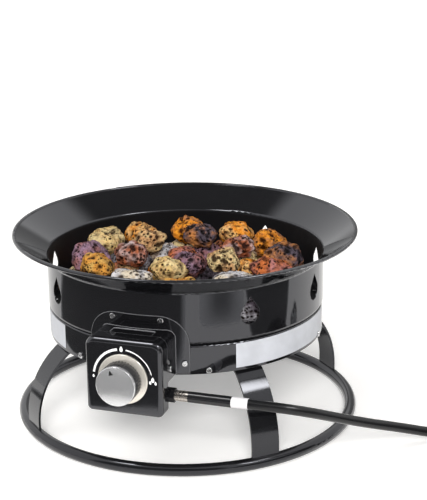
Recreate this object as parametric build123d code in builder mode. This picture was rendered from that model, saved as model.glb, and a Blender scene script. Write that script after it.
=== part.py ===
"""Portable propane fire pit.

Millimetres, +Z up. The origin is on the floor, under the bowl's axis. The control box faces -Y, and the
hose leaves it towards +X. Azimuths are counted from the front (-Y) towards +X, and a "reach" is a
distance ahead of the bowl's axis.
"""

import math
import os

import numpy as np
from build123d import *

os.makedirs("parts", exist_ok=True)

# Fits that serve the whole part
CLEARANCE = 0.2
RUNNING_CLEARANCE = 0.05
OVERRUN = 6.0

# Fire bowl
RIM_DIAMETER = 482.6
RIM_RISE = 32.5
LIP_DIAMETER = 5.2
BOWL_DIAMETER = 388.6
BOWL_SHEET = 1.5
BOWL_CORNER_RADIUS = 5.0
WALL_HEIGHT = 72.5
FLARE_RADIUS = 4.0
VENT_COUNT = 8
VENT_FIRST_AZIMUTH = 45.0
VENT_HEIGHT_SHARE = 0.5
VENT_RADIUS = 14.0
VENT_TIP = 24.0

# Lower band, bottom plate and their fasteners
BAND_STEP = 1.3
BAND_SHEET = 1.2
BAND_BOTTOM = 124.5
BAND_HEIGHT = 40.5
BAND_LEDGE = 14.0
BAND_BEND = 3.0
PLATE_SHEET = 1.5
PLATE_RIM = 13.0
PLATE_BEND = 4.0
TUNNEL_MOUTH_WIDTH = 64.0
TUNNEL_MOUTH_RISE = 22.0
RIVET_COUNT = 8
RIVET_FIRST_AZIMUTH = 22.5
RIVET_INSET = 8.0
RIVET_RADIUS = 2.0
RIVET_HEAD_RADIUS = 3.6
RIVET_HEAD = 1.4
PLATE_SCREW_AZIMUTHS = (28.0, 90.0, 152.0, 208.0, 270.0, 332.0)
PLATE_SCREW_RISE = 5.2
SCREW_RADIUS = 1.9
SCREW_HEAD_RADIUS = 4.1
SCREW_HEAD = 2.4
SCREW_LENGTH = 6.0
SCREW_CROSS = 0.9

# Base ring and legs
RING_DIAMETER = 470.0
RING_TUBE = 16.4
RING_WALL = 1.6
RING_FLAT = 0.5
RING_VENT_RADIUS = 1.5
LEG_AZIMUTHS = {"front_right": 45.0, "rear_right": 135.0, "rear_left": 225.0, "front_left": 315.0}
LEG_WIDTH = 40.0
LEG_SHEET = 3.0
LEG_INSET = 8.5
LEG_HIP_SHARE = 0.65
LEG_TAB = 58.0
LEG_SWEEP_SHARE = 0.85
LEG_KNEE_SHARE = 0.12
BOLT_RADIUS = 3.0
BOLT_HEAD_FLATS = 10.0
BOLT_HEAD = 4.0
BOLT_LENGTH = 13.0
BOLT_FIRST = 28.0
BOLT_SPACING = 19.0
NUT_HEIGHT = 5.0

# Control box: the cover in front and the housing behind it
COVER_STANDOFF = 51.7
COVER_DEPTH = 24.0
COVER_WIDTH = 105.0
COVER_ABOVE_KNOB = 53.0
COVER_BELOW_KNOB = 50.0
COVER_SHEET = 2.0
COVER_CORNER = 13.0
COVER_FOOT_CORNER = 7.5
COVER_EDGE = 7.0
COVER_TAB_WIDTH = 16.0
COVER_TAB_LENGTH = 20.0
COVER_TAB_ROOT = 10.0
COVER_TAB_RISE = 7.0
HOUSING_NARROWER = 2.0
HOUSING_STEP = 1.5
HOUSING_FOOT = 2.5
HOUSING_SHEET = 1.5
HOUSING_CORNER = 11.0
FLANGE_WIDTH = 138.0
FLANGE_RISE = 41.5
FLANGE_SHOULDER = 40.0
FLANGE_SHEET = 1.6
FLANGE_TOP_SCREW_SPREAD = 66.0
FLANGE_TOP_SCREW_INSET = 6.0
FLANGE_SIDE_SCREW_SPREAD = 125.0
FLANGE_SIDE_SCREW_RISE = 14.5
RECESS_WIDTH = 58.0
RECESS_LENGTH = 17.0
RECESS_DEPTH = 0.9
RECESS_CORNER = 2.5

# Knob, bezel and valve, along an axis that faces the front
KNOB_DROP = 29.0
KNOB_DIAMETER = 54.0
KNOB_LENGTH = 22.0
KNOB_TRAVEL = 3.0
KNOB_GAP = 0.6
KNOB_EDGE = 0.8
KNOB_WALL = 4.0
KNOB_CAVITY = 10.0
KNOB_HUB_RADIUS = 8.0
KNOB_GRIPS = 40
KNOB_GRIP_RADIUS = 1.3
CAP_INSET = 0.4
CAP_WALL = 1.2
CAP_FACE = 1.2
CAP_RIM = 4.0
CAP_GAP = 0.4
CAP_EDGE = 1.0
POINTER_ANGLE = 18.0
POINTER_TIP = 23.0
POINTER_LENGTH = 7.0
POINTER_WIDTH = 6.0
POINTER_HEIGHT = 0.5
BEZEL_DIAMETER = 68.0
BEZEL_BORE = 46.0
BEZEL_THICKNESS = 2.0
BEZEL_EDGE = 1.2
STEM_RADIUS = 4.0
STEM_NECK_RADIUS = 3.2
STEM_FLAT = 1.0
STEM_HOLE_GAP = 3.0
STEM_SOCKET = 15.0
BONNET_THICKNESS = 3.0
BONNET_WIDTH = 56.0
BONNET_HEIGHT = 28.0
BONNET_CORNER = 5.0
VALVE_SCREW_SPREAD = 36.0
BONNET_SCREW_SPREAD = 21.0
BONNET_SCREW_RADIUS = 1.4
BONNET_SCREW_HEAD_RADIUS = 2.7
BONNET_SCREW_HEAD = 1.5
VALVE_RADIUS = 14.0
VALVE_LENGTH = 40.0
CHAMBER_RADIUS = 8.0
CHAMBER_DEPTH = 33.0
SPIGOT_RADIUS = 7.4
SPIGOT_LENGTH = 13.0
COLLAR_THICKNESS = 2.4
COLLAR_GAP = 0.3
PLUG_LENGTH = 15.0
PLUG_GAP = 0.4
TANG_WIDTH = 5.0
TANG_THICKNESS = 2.4
TANG_LENGTH = 8.0
PORT_RADIUS = 2.2
SPRING_WIRE = 0.9
SPRING_RADIUS = 6.0
SPRING_TURNS = 4
SPRING_SEAT_GAP = 0.3

# Gas path from the hose to the burner
INLET_REACH = 4.0
INLET_DROP = 29.0
INLET_BOSS_RADIUS = 7.5
INLET_BOSS_DROP = 18.0
INLET_BORE = 3.0
ELBOW_RADIUS = 6.0
ELBOW_BEND = 8.5
HOSE_NUT_START = 44.0
HOSE_NUT_LENGTH = 15.0
HOSE_NUT_FLATS = 17.0
FERRULE_RADIUS = 7.3
FERRULE_LENGTH = 18.0
FERRULE_GROOVES = 3
FERRULE_GROOVE_RADIUS = 0.7
SLEEVE_RADIUS = 7.4
SLEEVE_LENGTH = 58.0
SLEEVE_EDGE = 0.8
TAG_LENGTH = 22.0
TAG_THICKNESS = 0.35
JET_RADIUS = 3.0
JET_FLATS = 8.0
JET_HEAD = 6.0
JET_THREAD = 7.0
JET_BORE = 0.6
MIXER_BORE_RADIUS = 7.6
MIXER_WALL = 1.3
MIXER_OVERLAP = 9.0
MIXER_BEND_SHARE = 0.72
MIXER_TOP_GAP = 9.5
AIR_WINDOW_LENGTH = 14.0
AIR_WINDOW_WIDTH = 9.0
AIR_WINDOW_REACH = 176.0
BURNER_DIAMETER = 170.0
BURNER_TUBE = 12.0
BURNER_CROSS_TUBE = 9.0
BURNER_WALL = 1.4
BURNER_LIFT = 2.0
BURNER_OPENING = 6.0
BURNER_BLOCK = 14.0
BURNER_PORTS = 40
BURNER_PORT_RADIUS = 1.2
BURNER_COLLAR_RADIUS = 14.0
NIPPLE_RADIUS = 7.0
NIPPLE_WALL = 1.6
NIPPLE_LENGTH = 14.5
LOCKNUT_FLATS = 25.0
LOCKNUT_HEIGHT = 7.0

# Hose: the free stretch, then a put-away coil in two layers, held by a strap
HOSE_DIAMETER = 13.5
HOSE_CORNER_SHARE = 0.45
HOSE_FIRST_RUN = 43.0
HOSE_WAYPOINTS = (
    {"place": (87.0, 18.0), "height_share": 0.91},
    {"place": (114.0, 55.0), "height_share": 0.717},
    {"place": (149.0, 109.0), "height_share": 0.403},
    {"place": (190.0, 164.0), "height_share": 0.15},
)
LANDING_PLACE = (241.0, 196.0)
LANDING_HEADING = 42.0
LANDING_RUN = 62.0
COIL_GAP = 0.5
COIL_MEAN_DIAMETER = 162.0
COIL_TURNS_IN = 2.5
COIL_CLIMB_TURNS = 0.5
COIL_TAIL = 62.0
GAP_SAMPLES = 10
GAP_SKIP = 8
TIE_THICKNESS = 1.2
TIE_WIDTH = 18.0
TIE_CLEARANCE = 1.2
TIE_CORNER = 5.0
TIE_TURN = 0.25
HOSE_FLOOR = HOSE_DIAMETER / 2 + TIE_THICKNESS + CLEARANCE

# Regulator and tank coupling on the hose's far end, measured along the hose from the coil's tail
REGULATOR_RADIUS = 28.0
REGULATOR_SHEET = 2.0
REGULATOR_BELOW = 15.0
REGULATOR_ABOVE = 15.0
REGULATOR_SEAM = 10.0
REGULATOR_FLANGE = 6.0
REGULATOR_FLANGE_THICKNESS = 3.0
REGULATOR_DRAFT = 7.0
REGULATOR_BOSS_RADIUS = 8.5
REGULATOR_BOSS = 8.0
REGULATOR_SCREWS = 6
REGULATOR_SCREW_RADIUS = 1.5
REGULATOR_SCREW_HEAD_RADIUS = 2.6
REGULATOR_SCREW_HEAD = 1.8
VENT_CAP_RADIUS = 7.0
VENT_CAP_HEIGHT = 4.0
TANK_FERRULE_LENGTH = 18.0
TANK_NIPPLE_RADIUS = 5.0
TANK_NIPPLE_LENGTH = 34.0
TANK_NIPPLE_SHOULDER_RADIUS = 9.0
TANK_NIPPLE_SHOULDER = 5.0
TANK_NIPPLE_BORE = 2.0
SEAL_RADIUS = 1.6
SEAL_SETBACK = 5.0
TANK_NUT_RADIUS = 21.6
TANK_NUT_LENGTH = 28.0
TANK_NUT_BORE = 16.65
TANK_NUT_END_WALL = 5.0
NUT_END_GAP = 0.5
TANK_NUT_RIBS = 18
TANK_NUT_RIB_RADIUS = 2.4

# Lava rocks: each row is a ring of stones, dropped in this order until it rests
ROCK_SIZE = 62.0
ROCK_CORNERS = 22
ROCK_GAP = 0.3
ROCK_WALL_GAP = 11.0
ROCK_SEED = 7
ROCK_JITTER_SHARE = 0.16
ROCK_VARIATION_SHARE = 0.1
ROCK_TILT_SHARE = 0.35
SLOPE_SPAN = 4.0
SLOPE_ZOOMS = 9
SLOPE_STEPS = 13
SLOPE_ZOOM_SHARE = 0.45
OBSTACLE_SIDES = 16
OBSTACLE_STRETCHES = 48
ROCK_WIDTH_SHARE = 0.88
ROCK_HEIGHT_SHARE = 0.72
ROCK_RINGS = {
    "lava_rock_bed": (
        {"count": 15, "ring_share": 0.785, "size_share": 1.0, "first_azimuth": 6.0},
        {"count": 9, "ring_share": 0.475, "size_share": 0.93, "first_azimuth": 20.0},
        {"count": 3, "ring_share": 0.18, "size_share": 0.86, "first_azimuth": 45.0},
    ),
    "lava_rock_heap": (
        {"count": 12, "ring_share": 0.71, "size_share": 0.9, "first_azimuth": 17.0},
        {"count": 6, "ring_share": 0.4, "size_share": 0.74, "first_azimuth": 2.0},
        {"count": 2, "ring_share": 0.12, "size_share": 0.78, "first_azimuth": 30.0},
    ),
}

# Derived places
STAND = (Align.CENTER, Align.CENTER, Align.MIN)
bowl_underside = BAND_BOTTOM + BAND_HEIGHT
flare_height = bowl_underside + WALL_HEIGHT
rim_height = flare_height + RIM_RISE
vent_height = bowl_underside + VENT_HEIGHT_SHARE * WALL_HEIGHT
hip_height = LEG_HIP_SHARE * BAND_BOTTOM
knob_height = bowl_underside - KNOB_DROP
cover_top = knob_height + COVER_ABOVE_KNOB
cover_bottom = knob_height - COVER_BELOW_KNOB
cover_tab_height = knob_height + COVER_TAB_RISE
housing_top = cover_top - HOUSING_STEP
housing_bottom = BAND_BOTTOM + HOUSING_FOOT
flange_top = bowl_underside + FLANGE_RISE
flange_top_screw_height = flange_top - FLANGE_TOP_SCREW_INSET
flange_side_screw_height = housing_bottom + FLANGE_SIDE_SCREW_RISE
bowl_radius = BOWL_DIAMETER / 2
lip_radius = RIM_DIAMETER / 2 - LIP_DIAMETER / 2
lip_height = rim_height - LIP_DIAMETER / 2
bowl_floor = bowl_underside + BOWL_SHEET
bowl_bore = bowl_radius - BOWL_SHEET
band_radius = bowl_radius - BAND_STEP
plate_radius = band_radius - BAND_SHEET - CLEARANCE
plate_top = BAND_BOTTOM + PLATE_SHEET
ring_radius = RING_DIAMETER / 2
ring_centre = RING_TUBE / 2 - RING_FLAT
cover_face = bowl_radius + COVER_STANDOFF
cover_inside = cover_face - COVER_SHEET
cover_back = cover_face - COVER_DEPTH
housing_width = COVER_WIDTH - HOUSING_NARROWER
bonnet_back = cover_inside - BONNET_THICKNESS
valve_back = bonnet_back - VALVE_LENGTH
chamber_back = bonnet_back - CHAMBER_DEPTH
spigot_back = valve_back - SPIGOT_LENGTH
inlet_reach = chamber_back + INLET_REACH
inlet_height = knob_height - INLET_DROP
knob_back = cover_face + BEZEL_THICKNESS + KNOB_TRAVEL + KNOB_GAP
knob_front = knob_back + KNOB_LENGTH
cap_back = knob_front - CAP_RIM
plug_back = chamber_back + PLUG_GAP
plug_front = plug_back + PLUG_LENGTH
collar_front = bonnet_back - COLLAR_GAP
collar_back = collar_front - COLLAR_THICKNESS
burner_radius = BURNER_DIAMETER / 2
burner_height = bowl_floor + BURNER_LIFT + BURNER_TUBE / 2
nipple_bottom = bowl_underside - NIPPLE_LENGTH
mixer_top = bowl_underside - MIXER_TOP_GAP
mixer_radius = MIXER_BORE_RADIUS + MIXER_WALL
mixer_bend = MIXER_BEND_SHARE * (mixer_top - knob_height)
mixer_mouth = spigot_back + MIXER_OVERLAP
ferrule_start = HOSE_NUT_START + HOSE_NUT_LENGTH
sleeve_start = ferrule_start + FERRULE_LENGTH
hose_start = sleeve_start + SLEEVE_LENGTH


def radial(azimuth, height, reach=0.0):
    """Plane that faces outwards from the bowl's axis, with its own y axis up."""
    turn = math.radians(azimuth)
    outwards = Vector(math.sin(turn), -math.cos(turn), 0)
    origin = outwards * reach + Vector(0, 0, height)
    return Plane(origin=origin, x_dir=(math.cos(turn), math.sin(turn), 0), z_dir=outwards)


def front(reach, height=knob_height):
    """Plane across the front axis, facing the front."""
    return radial(0, height, reach)


def sideways(x, reach, height):
    """Plane that faces +X at a reach ahead of the bowl's axis."""
    return Plane(origin=(x, -reach, height), x_dir=(0, 1, 0), z_dir=(1, 0, 0))


def save(builder, name):
    """Label a finished piece and write it."""
    builder.part.label = name
    export_step(builder.part, f"parts/{name}.step")


def pan_screw(length):
    """Cross-head screw that stands on its plane, with its shank going down."""
    with BuildPart() as screw:
        Cylinder(SCREW_HEAD_RADIUS, SCREW_HEAD, align=STAND)
        fillet(screw.edges().group_by(Axis.Z)[-1], SCREW_HEAD / 2)
        with Locations((0, 0, SCREW_HEAD)):
            Box(SCREW_HEAD_RADIUS, SCREW_CROSS, SCREW_HEAD, mode=Mode.SUBTRACT)
            Box(SCREW_CROSS, SCREW_HEAD_RADIUS, SCREW_HEAD, mode=Mode.SUBTRACT)
        Cylinder(SCREW_RADIUS, length, align=(Align.CENTER, Align.CENTER, Align.MAX))
    return screw.part


def across_flats(flats):
    """Corner radius of a hexagon from its width across flats."""
    return flats / math.sqrt(3)


def spread_azimuth(spread, radius):
    """Azimuth of a point that stands off the front axis by half a spread."""
    return math.degrees(math.asin(spread / 2 / radius))


screw_hole = SCREW_RADIUS + CLEARANCE
flange_radius = bowl_radius + CLEARANCE + FLANGE_SHEET
flange_top_azimuth = spread_azimuth(FLANGE_TOP_SCREW_SPREAD, flange_radius)
flange_side_azimuth = spread_azimuth(FLANGE_SIDE_SCREW_SPREAD, flange_radius)
flange_top_planes = [
    radial(turn, flange_top_screw_height, flange_radius) for turn in (-flange_top_azimuth, flange_top_azimuth)
]
flange_side_planes = [
    radial(turn, flange_side_screw_height, flange_radius)
    for turn in (-flange_side_azimuth, flange_side_azimuth)
]
plate_screw_height = BAND_BOTTOM + PLATE_SCREW_RISE
rivet_ring = band_radius - RIVET_INSET

# Fire bowl: floor, wall and flared flange are one sheet, and the lip is rolled
vent_span = 360.0 - 2 * VENT_FIRST_AZIMUTH
vent_azimuths = [VENT_FIRST_AZIMUTH + vent_span * i / (VENT_COUNT - 1) for i in range(VENT_COUNT)]
vent_tangent = math.acos(VENT_RADIUS / VENT_TIP)
vent_side = (VENT_RADIUS * math.sin(vent_tangent), VENT_RADIUS * math.cos(vent_tangent))
with BuildPart() as fire_bowl:
    with BuildSketch(Plane.XZ):
        with BuildLine():
            FilletPolyline(
                (0, bowl_underside),
                (bowl_radius, bowl_underside),
                (bowl_radius, flare_height),
                (lip_radius, lip_height),
                radius=[BOWL_CORNER_RADIUS, FLARE_RADIUS],
            )
            offset(amount=BOWL_SHEET, side=Side.LEFT)
        make_face()
    revolve(axis=Axis.Z)
    with Locations((0, 0, lip_height)):
        Torus(lip_radius, LIP_DIAMETER / 2)
    for azimuth in vent_azimuths:
        with BuildSketch(radial(azimuth, vent_height)):
            with BuildLine():
                ThreePointArc((-vent_side[0], vent_side[1]), (0, -VENT_RADIUS), vent_side)
                Polyline(vent_side, (0, VENT_TIP), (-vent_side[0], vent_side[1]))
            make_face()
        extrude(amount=bowl_radius + OVERRUN, mode=Mode.SUBTRACT)
    with Locations(*flange_top_planes):
        Cylinder(screw_hole, SCREW_LENGTH * 2, mode=Mode.SUBTRACT)
    with Locations((0, 0, bowl_underside)):
        Cylinder(NIPPLE_RADIUS + CLEARANCE, BOWL_SHEET * 2, mode=Mode.SUBTRACT)
        with PolarLocations(rivet_ring, RIVET_COUNT, start_angle=RIVET_FIRST_AZIMUTH):
            Cylinder(RIVET_RADIUS + CLEARANCE, OVERRUN, mode=Mode.SUBTRACT)
save(fire_bowl, "fire_bowl")

# Lower band: a rolled ring whose top ledge is riveted under the bowl's floor
mouth_height = plate_top + TUNNEL_MOUTH_RISE / 2
with BuildPart() as lower_band:
    with BuildSketch(Plane.XZ):
        with BuildLine():
            FilletPolyline(
                (band_radius, BAND_BOTTOM),
                (band_radius, bowl_underside),
                (band_radius - BAND_LEDGE, bowl_underside),
                radius=BAND_BEND,
            )
            offset(amount=BAND_SHEET, side=Side.LEFT)
        make_face()
    revolve(axis=Axis.Z)
    with BuildSketch(front(0, mouth_height)):
        Rectangle(TUNNEL_MOUTH_WIDTH, TUNNEL_MOUTH_RISE)
    extrude(amount=bowl_radius + OVERRUN, mode=Mode.SUBTRACT)
    with Locations(*flange_side_planes):
        Cylinder(screw_hole, SCREW_LENGTH * 2, mode=Mode.SUBTRACT)
    with Locations(*[radial(azimuth, plate_screw_height, band_radius) for azimuth in PLATE_SCREW_AZIMUTHS]):
        Cylinder(screw_hole, SCREW_LENGTH * 2, mode=Mode.SUBTRACT)
    with Locations((0, 0, bowl_underside)):
        with PolarLocations(rivet_ring, RIVET_COUNT, start_angle=RIVET_FIRST_AZIMUTH):
            Cylinder(RIVET_RADIUS + CLEARANCE, OVERRUN, mode=Mode.SUBTRACT)
save(lower_band, "lower_band")

with BuildPart() as band_rivets:
    with Locations((0, 0, bowl_floor)):
        with PolarLocations(rivet_ring, RIVET_COUNT, start_angle=RIVET_FIRST_AZIMUTH):
            Cylinder(RIVET_HEAD_RADIUS, RIVET_HEAD, align=STAND)
    with Locations((0, 0, bowl_underside - BAND_SHEET)):
        with PolarLocations(rivet_ring, RIVET_COUNT, start_angle=RIVET_FIRST_AZIMUTH):
            Cylinder(RIVET_RADIUS, BOWL_SHEET + BAND_SHEET, align=STAND)
            Cylinder(RIVET_HEAD_RADIUS, RIVET_HEAD, align=(Align.CENTER, Align.CENTER, Align.MAX))
save(band_rivets, "band_rivets")

# Bottom plate: a dish screwed into the band's lower edge, which carries the legs
knee_radius = bowl_radius - LEG_INSET
bolt_reaches = (knee_radius - BOLT_FIRST, knee_radius - BOLT_FIRST - BOLT_SPACING)
bolt_places = [
    radial(azimuth, BAND_BOTTOM, reach).origin for azimuth in LEG_AZIMUTHS.values() for reach in bolt_reaches
]
with BuildPart() as bottom_plate:
    with BuildSketch(Plane.XZ):
        with BuildLine():
            FilletPolyline(
                (0, BAND_BOTTOM),
                (plate_radius, BAND_BOTTOM),
                (plate_radius, BAND_BOTTOM + PLATE_RIM),
                radius=PLATE_BEND,
            )
            offset(amount=PLATE_SHEET, side=Side.LEFT)
        make_face()
    revolve(axis=Axis.Z)
    with BuildSketch(front(bowl_radius - LEG_INSET, mouth_height)):
        Rectangle(TUNNEL_MOUTH_WIDTH, TUNNEL_MOUTH_RISE)
    extrude(amount=OVERRUN + LEG_INSET, mode=Mode.SUBTRACT)
    with Locations(*[radial(azimuth, plate_screw_height, plate_radius) for azimuth in PLATE_SCREW_AZIMUTHS]):
        Cylinder(screw_hole, SCREW_LENGTH * 2, mode=Mode.SUBTRACT)
    with Locations(*bolt_places):
        Cylinder(BOLT_RADIUS + CLEARANCE, OVERRUN, mode=Mode.SUBTRACT)
save(bottom_plate, "bottom_plate")

with BuildPart() as plate_screws:
    with Locations(*[radial(azimuth, plate_screw_height, band_radius) for azimuth in PLATE_SCREW_AZIMUTHS]):
        add(pan_screw(SCREW_LENGTH))
save(plate_screws, "plate_screws")

# Base ring: a bent tube with a small flat where it stands
with BuildPart() as base_ring:
    with BuildSketch(Plane.XZ):
        with Locations((ring_radius, ring_centre)):
            Circle(RING_TUBE / 2)
            Circle(RING_TUBE / 2 - RING_WALL, mode=Mode.SUBTRACT)
    revolve(axis=Axis.Z)
    Cylinder(
        ring_radius + RING_TUBE, RING_TUBE, align=(Align.CENTER, Align.CENTER, Align.MAX), mode=Mode.SUBTRACT
    )
    with Locations(radial(180, ring_centre)):
        Cylinder(RING_VENT_RADIUS, ring_radius, align=STAND, mode=Mode.SUBTRACT)
save(base_ring, "base_ring")

# Legs: bent strips, bolted under the plate and standing on the ring
leg_foot = ring_centre + RING_TUBE / 2 + CLEARANCE
leg_face = ring_radius + LEG_SHEET / 2
leg_lean = leg_face - knee_radius
leg_rise = BAND_BOTTOM - hip_height
leg_run = math.hypot(leg_lean, leg_rise)
hip_turn = math.atan2(leg_lean, leg_rise)
knee_turn = math.pi / 2 - hip_turn
leg_sweep = LEG_SWEEP_SHARE * min(leg_run, hip_height - leg_foot) / math.tan(hip_turn / 2)
leg_knee = LEG_KNEE_SHARE * leg_run / math.tan(knee_turn / 2)
for name, azimuth in LEG_AZIMUTHS.items():
    across = radial(azimuth, 0)
    leg_side = across.x_dir * (LEG_WIDTH / 2)
    leg_plane = Plane(origin=leg_side, x_dir=across.z_dir, z_dir=-across.x_dir)
    with BuildPart() as leg:
        with BuildSketch(leg_plane):
            with BuildLine():
                FilletPolyline(
                    (knee_radius - LEG_TAB, BAND_BOTTOM),
                    (knee_radius, BAND_BOTTOM),
                    (leg_face, hip_height),
                    (leg_face, leg_foot),
                    radius=[leg_knee, leg_sweep],
                )
                offset(amount=LEG_SHEET, side=Side.RIGHT)
            make_face()
        extrude(amount=LEG_WIDTH)
        with Locations(*[radial(azimuth, BAND_BOTTOM, reach).origin for reach in bolt_reaches]):
            Cylinder(BOLT_RADIUS + CLEARANCE, LEG_SHEET * 4, mode=Mode.SUBTRACT)
    save(leg, f"leg_{name}")

bolt_base = BAND_BOTTOM - LEG_SHEET - BOLT_HEAD
with BuildPart() as leg_bolts:
    with BuildSketch(Plane.XY.offset(bolt_base)):
        with Locations(*[(place.X, place.Y) for place in bolt_places]):
            RegularPolygon(across_flats(BOLT_HEAD_FLATS), 6)
    extrude(amount=BOLT_HEAD)
    with Locations(*[(place.X, place.Y, bolt_base) for place in bolt_places]):
        Cylinder(BOLT_RADIUS, BOLT_HEAD + BOLT_LENGTH, align=STAND)
save(leg_bolts, "leg_bolts")

with BuildPart() as leg_nuts:
    with BuildSketch(Plane.XY.offset(plate_top)):
        with Locations(*[(place.X, place.Y) for place in bolt_places]):
            RegularPolygon(across_flats(BOLT_HEAD_FLATS), 6)
            Circle(BOLT_RADIUS + RUNNING_CLEARANCE, mode=Mode.SUBTRACT)
    extrude(amount=NUT_HEIGHT)
save(leg_nuts, "leg_nuts")

# Control housing: an arched flange that follows the bowl, and a tunnel open at the front and below


def arch(width, top, bottom, shoulder):
    """Corners of an upright outline with two round shoulders, for a closed profile."""
    half = width / 2
    FilletPolyline((-half, bottom), (-half, top), (half, top), (half, bottom), radius=shoulder)
    Line((half, bottom), (-half, bottom))


side_screw_reach = cover_back - COVER_TAB_LENGTH / 2
side_screw_planes = [
    sideways(housing_width / 2, side_screw_reach, cover_tab_height),
    Plane(origin=(-housing_width / 2, -side_screw_reach, cover_tab_height), x_dir=(0, 1, 0), z_dir=(-1, 0, 0)),
]
with BuildPart() as control_housing:
    with BuildSketch(front(0, 0)):
        with BuildLine():
            arch(FLANGE_WIDTH, flange_top, housing_bottom, FLANGE_SHOULDER)
        make_face()
    extrude(amount=flange_radius)
    Cylinder(flange_radius, rim_height, align=STAND, mode=Mode.INTERSECT)
    with BuildSketch(front(0, 0)):
        with BuildLine():
            arch(housing_width, housing_top, housing_bottom, HOUSING_CORNER)
        make_face()
    extrude(amount=cover_back)
    with BuildSketch(front(0, 0)):
        with BuildLine():
            arch(
                housing_width - 2 * HOUSING_SHEET,
                housing_top - HOUSING_SHEET,
                housing_bottom - OVERRUN,
                HOUSING_CORNER - HOUSING_SHEET,
            )
        make_face()
    extrude(amount=cover_back + OVERRUN, mode=Mode.SUBTRACT)
    Cylinder(bowl_radius + CLEARANCE, rim_height, align=STAND, mode=Mode.SUBTRACT)
    with BuildSketch(Plane.XY.offset(housing_top)):
        with Locations((0, -(cover_back + flange_radius) / 2)):
            RectangleRounded(RECESS_WIDTH, RECESS_LENGTH, RECESS_CORNER)
    extrude(amount=-RECESS_DEPTH, mode=Mode.SUBTRACT)
    with Locations(*flange_top_planes, *flange_side_planes, *side_screw_planes):
        Cylinder(screw_hole, SCREW_LENGTH * 2, mode=Mode.SUBTRACT)
save(control_housing, "control_housing")

with BuildPart() as housing_screws:
    with Locations(*flange_top_planes, *flange_side_planes):
        add(pan_screw(SCREW_LENGTH))
save(housing_screws, "housing_screws")

# Front cover: a pressed box open at the back, with two tabs that go inside the housing


def cover_outline(inset):
    """Upright outline with round shoulders and small feet, drawn in by an inset."""
    half = COVER_WIDTH / 2 - inset
    top = cover_top - inset
    bottom = cover_bottom + inset
    shoulder = COVER_CORNER - inset
    foot = COVER_FOOT_CORNER - inset
    FilletPolyline(
        (-half, bottom), (-half, top), (half, top), (half, bottom),
        radius=[foot, shoulder, shoulder, foot],
        close=True,
    )


tab_half = housing_width / 2 - HOUSING_SHEET - CLEARANCE
valve_screw_planes = [
    Plane(origin=(side * VALVE_SCREW_SPREAD / 2, -cover_face, knob_height), x_dir=(1, 0, 0), z_dir=(0, -1, 0))
    for side in (-1, 1)
]
with BuildPart() as cover_cavity:
    with BuildSketch(front(cover_back, 0)):
        with BuildLine():
            cover_outline(COVER_SHEET)
        make_face()
    extrude(amount=COVER_DEPTH - COVER_SHEET)
    fillet(cover_cavity.faces().sort_by(Axis.Y)[0].edges(), COVER_EDGE - COVER_SHEET)
with BuildPart() as control_cover:
    with BuildSketch(front(cover_back, 0)):
        with BuildLine():
            cover_outline(0)
        make_face()
    extrude(amount=COVER_DEPTH)
    fillet(control_cover.faces().sort_by(Axis.Y)[0].edges(), COVER_EDGE)
    add(cover_cavity.part, mode=Mode.SUBTRACT)
    for side in (-1, 1):
        with Locations((side * (tab_half - COVER_SHEET / 2), -side_screw_reach, cover_tab_height)):
            Box(COVER_SHEET, COVER_TAB_LENGTH + 2 * CLEARANCE, COVER_TAB_WIDTH)
        root_inside = tab_half - COVER_SHEET
        root_outside = COVER_WIDTH / 2 - COVER_SHEET / 2
        root_centre = side * (root_inside + root_outside) / 2
        with Locations((root_centre, -cover_back - COVER_TAB_ROOT / 2 - CLEARANCE, cover_tab_height)):
            Box(root_outside - root_inside, COVER_TAB_ROOT, COVER_TAB_WIDTH)
    with Locations(front(cover_face)):
        Cylinder(STEM_RADIUS + STEM_HOLE_GAP, COVER_SHEET * 3, mode=Mode.SUBTRACT)
    with Locations(*valve_screw_planes, *side_screw_planes):
        Cylinder(screw_hole, SCREW_LENGTH * 2, mode=Mode.SUBTRACT)
save(control_cover, "control_cover")

with BuildPart() as side_screws:
    with Locations(*side_screw_planes):
        add(pan_screw(SCREW_LENGTH))
save(side_screws, "side_screws")

with BuildPart() as bezel:
    with BuildSketch(front(cover_face)):
        Circle(BEZEL_DIAMETER / 2)
        Circle(BEZEL_BORE / 2, mode=Mode.SUBTRACT)
    extrude(amount=BEZEL_THICKNESS)
    fillet(bezel.faces().sort_by(Axis.Y)[0].edges(), BEZEL_EDGE)
save(bezel, "bezel")

# Knob: a ribbed cup with a hub on the stem, a bright cap pressed over its nose and a dark pointer
cap_radius = KNOB_DIAMETER / 2 - CAP_INSET
nose_radius = cap_radius - CAP_WALL
knob_grip = KNOB_LENGTH - CAP_RIM - CAP_GAP
socket_radius = STEM_RADIUS + CLEARANCE / 2


def d_section(radius, flat):
    """Round section with one flat across its top."""
    Circle(radius)
    with Locations((0, radius)):
        Rectangle(2 * radius, 2 * flat, mode=Mode.SUBTRACT)


with BuildPart() as knob_body:
    with Locations(front(knob_back)):
        Cylinder(KNOB_DIAMETER / 2, knob_grip, align=STAND)
    fillet(knob_body.faces().sort_by(Axis.Y)[0].edges(), KNOB_EDGE)
    with Locations(front(knob_back)):
        with PolarLocations(KNOB_DIAMETER / 2, KNOB_GRIPS):
            Cylinder(KNOB_GRIP_RADIUS, 2 * (knob_grip - KNOB_EDGE), mode=Mode.SUBTRACT)
        Cylinder(nose_radius, KNOB_LENGTH - CAP_FACE, align=STAND)
        Cylinder(KNOB_DIAMETER / 2 - KNOB_WALL, KNOB_CAVITY, align=STAND, mode=Mode.SUBTRACT)
        Cylinder(KNOB_HUB_RADIUS, KNOB_CAVITY, align=STAND)
    with BuildSketch(front(knob_back)):
        d_section(socket_radius, STEM_FLAT)
    extrude(amount=STEM_SOCKET, mode=Mode.SUBTRACT)
save(knob_body, "knob_body")

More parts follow.
